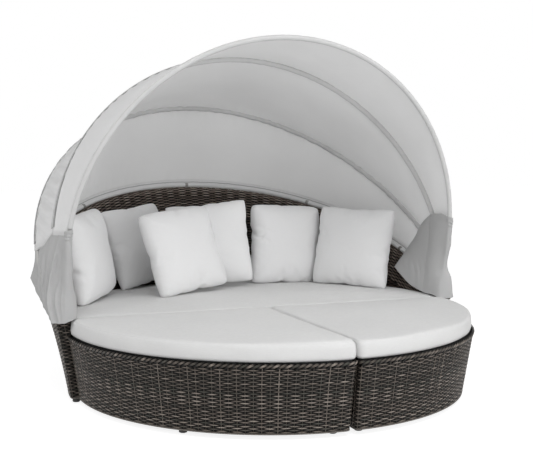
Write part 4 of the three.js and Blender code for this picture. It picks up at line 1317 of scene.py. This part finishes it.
def cloth_sheet(name, middle, thick, finish, seam=0.0):
    """Closed thin sheet through a grid of points, with its cut size in metres as the UV map and its
    stitched seams as an attribute that the finish darkens, for the thread and as painted shade."""
    rows, columns = middle.shape[:2]
    along = np.gradient(middle, axis=0)
    across = np.gradient(middle, axis=1)
    normal = unit(np.cross(along, across))
    thick = np.broadcast_to(thick, (rows, columns))
    sides = [middle + normal * thick[..., None] / 2, middle - normal * thick[..., None] / 2]
    ids = np.arange(2 * rows * columns).reshape(2, rows, columns)
    front, back = ids
    quads = [
        np.stack([front[:-1, :-1], front[1:, :-1], front[1:, 1:], front[:-1, 1:]], -1).reshape(-1, 4),
        np.stack([back[:-1, :-1], back[:-1, 1:], back[1:, 1:], back[1:, :-1]], -1).reshape(-1, 4),
    ]
    border = [(i, 0) for i in range(rows - 1)] + [(rows - 1, j) for j in range(columns - 1)]
    border += [(i, columns - 1) for i in range(rows - 1, 0, -1)] + [(0, j) for j in range(columns - 1, 0, -1)]
    edge = [[front[p], back[p], back[q], front[q]] for p, q in zip(border, border[1:] + border[:1])]
    quads.append(np.array(edge))
    quads = np.concatenate(quads)
    run_u = np.vstack([np.zeros((1, columns)), np.cumsum(steps_along(middle, 0), 0)])
    run_v = np.hstack([np.zeros((rows, 1)), np.cumsum(steps_along(middle, 1), 1)])
    flat = np.stack([run_u, run_v], -1).reshape(-1, 2)
    mesh = bpy.data.meshes.new(name)
    mesh.from_pydata(np.concatenate([s.reshape(-1, 3) for s in sides]).tolist(), [], quads.tolist())
    layer = mesh.uv_layers.new(name="cut")
    layer.data.foreach_set("uv", np.vstack([flat, flat])[quads.ravel()].ravel())
    mesh.materials.append(finish)
    mesh.shade_smooth()
    marks = np.broadcast_to(seam, (rows, columns)).ravel()
    mesh.attributes.new("seam", "FLOAT", "POINT").data.foreach_set("value", np.concatenate([marks, marks]))
    if enclosed(mesh) < 0:
        mesh.flip_normals()
    return add_piece(name, mesh)


def cut_size(middle):
    """Greatest length and width along the cloth, and the flat area of its middle surface."""
    lengths = steps_along(middle, 0).sum(0)
    widths = steps_along(middle, 1).sum(1)
    here, beside = middle[:-1, :-1], middle[1:, :-1]
    above, across = middle[:-1, 1:], middle[1:, 1:]
    one = np.linalg.norm(np.cross(beside - here, above - here), axis=-1)
    two = np.linalg.norm(np.cross(across - beside, across - above), axis=-1)
    return (float(lengths.max()), float(widths.max())), float((one + two).sum() / 2)


def fold_with(piece, follower, leader, weights):
    """The cloth turns about the pivots between two bodies. The bows fan out from the pivots, so each
    point's share of the turn goes by its angle between them, in place of its distance along a line."""
    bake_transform(piece, follower, leader, start=(0, 0.1, 0.6), end=(0, -0.1, 0.6))
    turn = piece.data.attributes["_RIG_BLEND"]
    both = np.concatenate([weights.ravel(), weights.ravel()]).astype(np.float32)
    turn.data.foreach_set("value", np.clip(both, 0, 1))


def angle_back(points):
    return np.arctan2(points[..., 1] - PIVOT_Y, points[..., 2] - PIVOT_Z)


def share_of_turn(middle):
    """1 at the first line of a panel, 0 at its last, by angle about the pivots in between."""
    angle = angle_back(middle)
    first, last = angle[:, :1], angle[:, -1:]
    return np.clip(1 - (angle - first) / (last - first), 0, 1)


CLOTH_LENGTH = 3.4
LINE_STEPS = 330
BAND_HALF = 0.013
PANEL_ROWS = 400
PANEL_COLUMNS = 36
SEAM_IN = 0.0165
STITCH_SHADE = 0.6
HEM_WIDE = 0.024
HEM_STITCH_IN = 0.019
HEM_THICK = 0.0022
# Height of the creases at each of the four lines, then of the pulls and of the waves on each panel
EASE = (0.0006, 0.0008, 0.0030, 0.0022)
PULLS = (0.0014, 0.0095, 0.0026)
WAVES = (0.0030, 0.0040, 0.0012)
# Name, its first line, slack in the middle, its left and right ends as shares between the hems, and
# the two bodies
panels = [
    ("canopy_front_panel", 0, 0.016, -0.012, 1.0, "middle_bow", "front_bow"),
    ("canopy_middle_panel", 1, 0.018, -0.012, 1.0, "rear_bow", "middle_bow"),
    ("canopy_rear_panel", 2, 0.014, 0.0, 1.08, "sofa", "rear_bow"),
]
hung = {}


def panel_columns(width):
    """Even columns, with more of them at the two stitched seams beside the sleeves."""
    near = np.array([0, 0.006, 0.010, 0.0135, 0.0150, 0.0165, 0.0180, 0.0195, 0.022, 0.026, 0.034]) / width
    even = np.linspace(0.045 / width, 1 - 0.045 / width, PANEL_COLUMNS)
    return np.unique(np.concatenate([near, 1 - near, even]))


def stitched(v, width, bold):
    """Darkness of the two stitched seams of a panel, for their thread and as painted shade. The one
    behind the front bow is bolder, with a piping in it.
    """
    first = np.exp(-((v * width - SEAM_IN) / mix(0.0022, 0.0036, bold)) ** 2)
    last = np.exp(-(((1 - v) * width - SEAM_IN) / 0.0022) ** 2)
    return mix(STITCH_SHADE, 1.0, bold) * first + STITCH_SHADE * last


def window(values, start, end, soft):
    """1 between start and end, falling off over the soft distance."""
    return np.clip((values - start) / soft + 0.5, 0, 1) * np.clip((end - values) / soft + 0.5, 0, 1)


def gathers(index, u, v, middle):
    """Small creases where the cloth is sewn to the sleeves, longer pulls down the left flank, and soft
    slanting waves on the way up to the crown."""
    metres = u * CLOTH_LENGTH
    near_first = np.exp(-((v * 0.55) / 0.05) ** 1.5)
    near_last = np.exp(-(((1 - v) * 0.55) / 0.05) ** 1.5)
    ripple = eased(np.stack([metres, v * 0.12, 0 * v], -1), 0.045, 21 + index)
    calm = 0.35 + 0.65 * np.clip(eased(np.stack([metres, 0 * v, 0 * v], -1), 0.9, 31 + index) + 0.3, 0, 1)
    crease = ripple * calm * (EASE[index] * near_first + EASE[index + 1] * near_last)
    broad = 0.0035 * eased(middle, 0.5, 41 + index) * np.sin(math.pi * v)
    slant = np.sin(2 * math.pi * (metres / 0.095 - v * 2.2 + 0.25 * eased(middle, 0.6, 51)))
    flank = window(u, 0.02, 0.17, 0.06) * np.sin(math.pi * np.clip(v, 0, 1)) ** 0.6
    crown = window(u, 0.20, 0.42, 0.10) * np.exp(-((1 - v) / 0.35) ** 2) * WAVES[index]
    soft_slant = np.sin(2 * math.pi * (metres / 0.075 + v * 1.5 + 0.5 * eased(middle, 0.5, 61)))
    return crease + broad + PULLS[index] * slant * flank + crown * soft_slant


for name, index, sag, left_end, right_end, follower, leader in panels:
    u = np.linspace(left_end, right_end, PANEL_ROWS)
    first, last = cloth_over(index, u), cloth_over(index + 1, u)
    width = float(np.linalg.norm(last - first, axis=-1).max())
    v = panel_columns(width)
    out = cloth_out(index, u)
    grid = mix(first[:, None], last[:, None], v[None, :, None])
    grid -= out[:, None] * (sag * 4 * v * (1 - v))[None, :, None]
    uu, vv = np.meshgrid(u, v, indexing="ij")
    held = np.clip(np.minimum(vv, 1 - vv) / 0.03, 0, 1)
    grid += out[:, None] * (gathers(index, uu, vv, grid) * held)[..., None]
    hung[index] = (u, v, grid.copy(), out)
    seam = stitched(vv, width, index == 0)
    flat, area = cut_size(grid)
    edge_u = np.minimum(uu - left_end, right_end - uu) * flat[0]
    groove = 1 - 0.6 * np.exp(-((edge_u - HEM_STITCH_IN) / 0.0016) ** 2)
    hem = np.clip((HEM_WIDE - edge_u) / 0.002, 0, 1) * groove
    thick = CLOTH_THICK + HEM_THICK * hem - 0.0007 * seam
    piece = cloth_sheet(name.replace("panel", "cloth"), grid, thick, canopy_finish, seam)
    fold_with(piece, follower, leader, share_of_turn(grid))
    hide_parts(name)


def sleeve(name, index, body, section, seed, crimp, past=0.0, stitches=(), finish=sleeve_finish):
    """Cloth round a tube: a section of (across, out) points carried along the line, with its
    stitched lines at some of them."""
    u = np.linspace(0, 1 + past, LINE_STEPS)
    line = on_line(index, u)
    along = unit(np.gradient(line, axis=0))
    out, _ = line_out(index, u)
    across = unit(np.cross(out, along))
    out = np.cross(along, across)
    section = np.array(section)
    grid = line[:, None] + across[:, None] * section[None, :, :1] + out[:, None] * section[None, :, 1:]
    drawn = unit(section)
    metres, sideways = np.meshgrid(u * CLOTH_LENGTH, section[:, 0] * 0.6, indexing="ij")
    outwards = np.broadcast_to(section[:, 1] * 0.6, metres.shape)
    bumps = crimp * eased(np.stack([metres, sideways, outwards], -1), 0.035, seed)
    grid += (across[:, None] * drawn[None, :, :1] + out[:, None] * drawn[None, :, 1:]) * bumps[..., None]
    seam = np.zeros(len(section))
    seam[list(stitches)] = STITCH_SHADE
    piece = cloth_sheet(name, grid, CLOTH_THICK, finish, seam)
    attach(piece, body)


def round_section(radius, start, end, steps):
    angle = np.radians(np.linspace(start, end, steps))
    return [(radius * math.cos(a), radius * math.sin(a)) for a in angle]


under_tube = [
    (-0.0150, 0.0112), (-0.0135, 0.0060), (-0.0120, -0.0010), (-0.0090, -0.0076), (-0.0045, -0.0108),
    (0.0, -0.0116), (0.0045, -0.0108), (0.0090, -0.0076), (0.0120, -0.0010), (0.0135, 0.0060),
    (0.0150, 0.0112),
]
over_rail = [
    (-0.036, 0.0105), (-0.030, 0.0090), (-0.0215, 0.0075), (-0.0205, 0.0062), (-0.0140, 0.0050),
    (-0.0118, -0.0010), (-0.0090, -0.0076), (-0.0045, -0.0108), (0.0, -0.0116), (0.0045, -0.0108),
    (0.0090, -0.0076), (0.0118, -0.0010), (0.0124, 0.0060), (0.0090, 0.0125), (0.0, 0.0165),
]
both_edges = (0, -1)
sleeve("front_sleeve", 0, "front_bow", round_section(0.0116, 75, 75 + 350, 25), 71, 0.0004)
sleeve("middle_sleeve", 1, "middle_bow", under_tube, 72, 0.0007, stitches=both_edges)
sleeve("rear_sleeve", 2, "rear_bow", under_tube, 73, 0.0020, past=0.08, stitches=both_edges)
sleeve("rail_sleeve", 3, "sofa", over_rail, 74, 0.0008, past=0.08, stitches=(3,), finish=rail_finish)


def bow_band(name, index, body):
    """Smooth strip stitched over the seam between two panels, on the outside of a bow."""
    u = np.linspace(0, 1, LINE_STEPS)
    line = cloth_over(index, u)
    out, _ = line_out(index, u)
    before, after = (unit(cloth_over(index + step, u) - line) for step in (-1, 1))
    shares = np.linspace(-1, 1, 9)
    grid = np.stack([line + (before if share < 0 else after) * abs(share) * BAND_HALF
                     + out * (0.0017 + 0.0006 * (1 - share ** 2)) for share in shares], 1)
    piece = cloth_sheet(name, grid, CLOTH_THICK, canopy_finish, np.abs(np.abs(shares) - 0.75) < 0.01)
    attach(piece, body)


bow_band("middle_bow_band", 1, "middle_bow")
bow_band("rear_bow_band", 2, "rear_bow")


# Skirts over the pivots
# Below the hems of the panels a loose skirt of the same cloth hides each pivot. It is wrapped round the
# leg of the front bow and tied there. On the left it hangs outside the arm in deep folds, on the right
# it is drawn inside the arm. Each is cut in two, and meets itself at the middle bow.
SKIRT_STEPS = 20
SKIRT_ROWS = 70
LEG_END = 4
MIDDLE_BOW_AT = 6
REAR_BOW_AT = 8
TIE_AT = 0.08
TIE_ROWS = 21
SKIRT_HEM_WIDE = 0.018
SKIRT_HEM_STITCH_IN = 0.016
SKIRT_HEM_THICK = 0.0016
HEM_LAG = 1.6


def smooth_through(points, steps):
    """Smooth curve along the first axis through given points, with more points between them."""
    points = np.asarray(points, float)
    last = len(points) - 1
    at = np.linspace(0, last, steps)
    index = np.minimum(at.astype(int), last - 1)
    share = (at - index).reshape(-1, *[1] * (points.ndim - 1))
    before, start = points[np.maximum(index - 1, 0)], points[index]
    end, after = points[index + 1], points[np.minimum(index + 2, last)]
    rise = (end - before) * share
    curve = (2 * before - 5 * start + 4 * end - after) * share ** 2
    return start + (rise + curve + (3 * (start - end) + after - before) * share ** 3) / 2


def sew_to_panels(grid, column, toward, shift):
    """Moves the top of the loose part to the ends of the panels, and eases the cloth below after it."""
    for i in np.nonzero(column >= LEG_END)[0]:
        index = 0 if column[i] <= MIDDLE_BOW_AT else 1
        u, v, panel, out = hung[index]
        sewn_at = np.interp(column[i], [LEG_END, LEG_END + 1, MIDDLE_BOW_AT, REAR_BOW_AT], shift[1])
        exact = np.interp(sewn_at if toward < 0 else 1 - sewn_at, u, np.arange(len(u)))
        row = min(int(exact), len(u) - 2)
        across = mix(panel[row], panel[row + 1], exact - row)
        share = (column[i] - (LEG_END if index == 0 else MIDDLE_BOW_AT)) / 2
        edge = [np.interp(share, v, across[:, k]) for k in range(3)] + out[row] * shift[0]
        settle = (np.linspace(1, 0, SKIRT_ROWS) ** 2.2 * np.clip((column[i] - LEG_END) / 0.4, 0, 1))[:, None]
        grid[i] += (edge - grid[i, 0]) * settle


def hang_folds(grid, column, toward, folds, depth, loose, seed):
    """Hanging folds where the cloth is loose, and a slight crumple all over."""
    cc, vv = np.meshgrid(column, np.linspace(0, 1, SKIRT_ROWS), indexing="ij")
    normal = unit(np.cross(np.gradient(grid, axis=0), np.gradient(grid, axis=1)))
    normal *= np.sign(normal[-1, 0, 0]) * toward
    sway = 0.4 * eased(grid * [0, 1, 1], 0.30, seed)
    fold = (cc - LEG_END) * folds * (1 + 0.35 * vv) + sway
    crest = (0.5 + 0.5 * np.cos(2 * math.pi * fold)) ** 3.0
    own = 0.7 + 0.5 * eased(np.stack([np.round(fold), 0 * fold, 0 * fold], -1), 1.7, seed + 1)
    free = window(cc, loose[0], loose[1], 0.9) * np.clip((vv - loose[2]) / 0.2, 0, 1)
    free *= 1 - 0.85 * np.clip((vv - 0.65) / 0.25, 0, 1) * np.clip(cc - LEG_END - 0.8, 0, 1)
    deep = depth * crest * own * free
    crumple = 0.0016 * eased(grid * [1, 1, 0.6], 0.09, seed + 2) + 0.0004 * eased(grid, 0.03, seed + 3)
    grid += normal * (deep + crumple * np.clip((vv - 0.05) / 0.05, 0.2, 1))[..., None]


def draw_in_at_tie(grid, column, seed):
    """Narrows the cloth round the leg of the bow, where the strap is tied."""
    cc, vv = np.meshgrid(column, np.linspace(0, 1, SKIRT_ROWS), indexing="ij")
    leg = grid[:LEG_END * SKIRT_STEPS + 1].mean(0)
    drawn_in = unit((leg - grid) * [1, 1, 0] + 1e-6)
    waist = np.exp(-((vv - TIE_AT) / 0.035) ** 2) * np.clip(LEG_END + 1 - cc, 0, 1)
    grid += drawn_in * (waist * (0.005 + 0.0015 * eased(grid, 0.018, seed + 4)))[..., None]


def skirt_grid(marks, toward, shift, folds, depth, loose, seed):
    """Cloth through rows of marks. The shift is how far its top stands off the panels, and where along
    them it is sewn. It is loose from one column to another, and below a share of its height."""
    marks = np.array(marks, float).reshape(5, -1, 3).transpose(1, 0, 2) / 1000 + [0, WHOLE_BACK, 0]
    columns = SKIRT_STEPS * (len(marks) - 1) + 1
    grid = smooth_through(marks, columns)
    grid = smooth_through(grid.transpose(1, 0, 2), SKIRT_ROWS).transpose(1, 0, 2)
    column = np.linspace(0, len(marks) - 1, columns)
    sew_to_panels(grid, column, toward, shift)
    hang_folds(grid, column, toward, folds, depth, loose, seed)
    draw_in_at_tie(grid, column, seed)
    return grid, column


def hem_share(column, last):
    """Share of the turn that each point takes. The hem lags behind, so that it is not pushed down."""
    level = np.linspace(0, 1, SKIRT_ROWS)[None, :]
    share = np.clip((last - column[:, None]) / 2, 0, 1)
    lag = HEM_LAG if last == REAR_BOW_AT else 0.0
    return share - share * (1 - share) * lag * level


# Each row runs from the flap round the bow's leg to the rear, and the rows go from the top to the hem
left_skirt = skirt_grid([
    (-988, -56, 824), (-992, -82, 824), (-1005, -93, 822), (-1020, -92, 820), (-1029, -72, 816),
    (-1052, 40, 790), (-1068, 146, 776), (-1100, 250, 742), (-1120, 330, 700),
    (-990, -28, 690), (-992, -54, 690), (-1005, -72, 690), (-1020, -72, 688), (-1031, -50, 688),
    (-1066, 40, 686), (-1092, 140, 680), (-1113, 250, 664), (-1113, 338, 650),
    (-984, -4, 572), (-984, -34, 570), (-1000, -58, 568), (-1018, -62, 566), (-1033, -46, 564),
    (-1074, 20, 564), (-1099, 110, 562), (-1116, 230, 580), (-1118, 346, 600),
    (-968, 0, 492), (-970, -34, 490), (-990, -58, 488), (-1018, -66, 486), (-1038, -56, 484),
    (-1084, -2, 480), (-1104, 84, 490), (-1118, 216, 532), (-1121, 352, 577),
    (-970, -6, 420), (-972, -40, 414), (-990, -62, 408), (-1016, -70, 400), (-1038, -68, 394),
    (-1076, -24, 396), (-1098, 52, 440), (-1114, 196, 502), (-1123, 356, 560),
], -1, (-0.003, (-0.004, -0.004, -0.004, -0.004)), 1.7, 0.018, (4.4, 7.3, 0.07), 81)
right_skirt = skirt_grid([
    (1020, -60, 828), (1021, -78, 830), (1011, -89, 836), (997, -88, 842), (988, -66, 844),
    (994, 40, 815), (1014, 140, 808), (1040, 262, 768), (1060, 372, 716),
    (1029, -24, 690), (1030, -42, 690), (1021, -52, 690), (1006, -51, 690), (998, -32, 690),
    (990, 50, 692), (1000, 130, 690), (1012, 262, 670), (1022, 380, 654),
    (1027, 6, 572), (1028, -12, 572), (1018, -23, 570), (1002, -22, 570), (991, -2, 570),
    (974, 50, 572), (972, 118, 566), (975, 258, 573), (978, 388, 590),
    (1044, -4, 506), (1043, -32, 502), (1032, -42, 500), (1004, -38, 500), (976, -14, 500),
    (962, 36, 502), (957, 108, 500), (956, 254, 524), (954, 392, 556),
    (1052, 0, 430), (1050, -36, 410), (1034, -54, 404), (1004, -50, 402), (968, -28, 406),
    (956, 20, 416), (946, 98, 420), (940, 250, 454), (934, 396, 528),
], 1, (-0.027, (0.012, 0.012, 0.008, 0.006)), 2.2, 0.006, (6.2, 7.5, 0.4), 82)
for side, (grid, column) in (("left", left_skirt), ("right", right_skirt)):
    for part, rows, last, follower, leader in (
            ("front", column <= MIDDLE_BOW_AT, MIDDLE_BOW_AT, "middle_bow", "front_bow"),
            ("rear", column >= MIDDLE_BOW_AT, REAR_BOW_AT, "rear_bow", "middle_bow")):
        cloth = grid[rows]
        flat, area = cut_size(cloth)
        from_hem = (1 - np.linspace(0, 1, SKIRT_ROWS))[None, :] * flat[1]
        hem = np.clip((SKIRT_HEM_WIDE - from_hem) / 0.002, 0, 1)
        stitch = np.exp(-((from_hem - SKIRT_HEM_STITCH_IN) / 0.0022) ** 2)
        piece = cloth_sheet(f"{side}_skirt_{part}_cloth", cloth, CLOTH_THICK + SKIRT_HEM_THICK * hem,
                            skirt_painted_shade_finish, STITCH_SHADE * stitch)
        fold_with(piece, follower, leader, hem_share(column[rows], last))
        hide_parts(f"{side}_skirt_{part}")


# Ties of the skirts
# A narrow strap of the same cloth is drawn round each skirt at the leg of the front bow and knotted.
for side, (grid, column) in (("left", left_skirt), ("right", right_skirt)):
    rows = slice(int(SKIRT_ROWS * (TIE_AT - 0.028)), int(SKIRT_ROWS * (TIE_AT + 0.045)))
    strap = smooth_through(grid[column <= LEG_END, rows], 2 * LEG_END * SKIRT_STEPS)
    strap = smooth_through(strap.transpose(1, 0, 2), TIE_ROWS).transpose(1, 0, 2)
    outward = unit((strap - strap.mean(0)) * [1, 1, 0] + 1e-6)
    way, across = np.meshgrid(np.linspace(0, 1, len(strap)), np.linspace(-1, 1, TIE_ROWS), indexing="ij")
    knotted = 0.006 * np.exp(-((way - 0.55) / 0.07) ** 2 - (across / 0.7) ** 2)
    creased = 0.0010 * np.sin(across * 7 + 5 * way) + 0.0012 * eased(strap, 0.02, 97)
    strap += outward * (0.0028 + knotted + creased)[..., None]
    flat, area = cut_size(strap)
    piece = cloth_sheet(side + "_skirt_tie", strap, CLOTH_THICK, skirt_painted_shade_finish)
    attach(piece, "front_bow")


# Ground and light
# Plain pale studio: a white floor that keeps the object's shadow, an even white surround and
# four large soft lamps: low in front, at both sides and above.
bpy.ops.mesh.primitive_plane_add(size=60, location=(0, 0, -0.0005))
ground = bpy.context.object
ground.name = "ground"
ground_finish, ground_tree, ground_shader = start_finish("ground_white", grey(226), 0.9)
ground.data.materials.append(ground_finish)
ground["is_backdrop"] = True


def seen_directly(tree):
    """1 for the camera and for what mirrors or glass show of the surround, 0 for its light on things."""
    path = add_node(tree, "ShaderNodeLightPath")
    seen = combine(tree, "MAXIMUM", path.outputs["Is Camera Ray"], path.outputs["Is Glossy Ray"])
    return combine(tree, "MAXIMUM", seen, path.outputs["Is Transmission Ray"])


glow = add_node(ground_tree, "ShaderNodeEmission")
glow.inputs["Strength"].default_value = 0.84
soft_shadow = add_node(ground_tree, "ShaderNodeBsdfDiffuse")
soft_shadow.inputs["Color"].default_value = grey(190)
lifted = add_node(ground_tree, "ShaderNodeAddShader")
ground_tree.links.new(glow.outputs["Emission"], lifted.inputs[0])
ground_tree.links.new(soft_shadow.outputs["BSDF"], lifted.inputs[1])
choose = add_node(ground_tree, "ShaderNodeMixShader")
ground_tree.links.new(seen_directly(ground_tree), choose.inputs["Fac"])
ground_tree.links.new(ground_shader.outputs["BSDF"], choose.inputs[1])
ground_tree.links.new(lifted.outputs["Shader"], choose.inputs[2])
ground_tree.links.new(choose.outputs["Shader"], ground_tree.nodes["Material Output"].inputs["Surface"])

world = bpy.data.worlds.new("surround")
bpy.context.scene.world = world
world.use_nodes = True
world_tree = world.node_tree
surround = world_tree.nodes["Background"]
surround.inputs["Color"].default_value = (1, 1, 1, 1)
surround.inputs["Strength"].default_value = 0.345
backdrop = add_node(world_tree, "ShaderNodeBackground")
backdrop.inputs["Color"].default_value = (1, 1, 1, 1)
backdrop.inputs["Strength"].default_value = 1.0
either = add_node(world_tree, "ShaderNodeMixShader")
world_tree.links.new(seen_directly(world_tree), either.inputs["Fac"])
world_tree.links.new(surround.outputs["Background"], either.inputs[1])
world_tree.links.new(backdrop.outputs["Background"], either.inputs[2])
world_tree.links.new(either.outputs["Shader"], world_tree.nodes["World Output"].inputs["Surface"])


def soft_lamp(name, place_at, aim, size, power):
    direction = Vector(aim) - Vector(place_at)
    bpy.ops.object.light_add(type="AREA", location=place_at,
                             rotation=direction.to_track_quat("-Z", "Y").to_euler())
    lamp = bpy.context.object
    lamp.name = name
    lamp.data.shape = "RECTANGLE"
    lamp.data.size, lamp.data.size_y = size
    lamp.data.energy = power


soft_lamp("low_front_lamp", (-0.2, -5.5, 1.0), (0, 0, 1.2), (4.0, 1.5), 62)
soft_lamp("right_lamp", (3.4, -4.6, 1.9), (0, 0, 0.6), (3.0, 2.5), 48)
soft_lamp("left_lamp", (-5.5, -0.6, 2.2), (0, 0, 0.7), (3.0, 2.5), 62)
soft_lamp("top_lamp", (0.0, -3.5, 5.0), (0, -0.3, 0.5), (4.0, 3.0), 113)

bpy.context.scene.view_settings.view_transform = "Standard"

low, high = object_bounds()
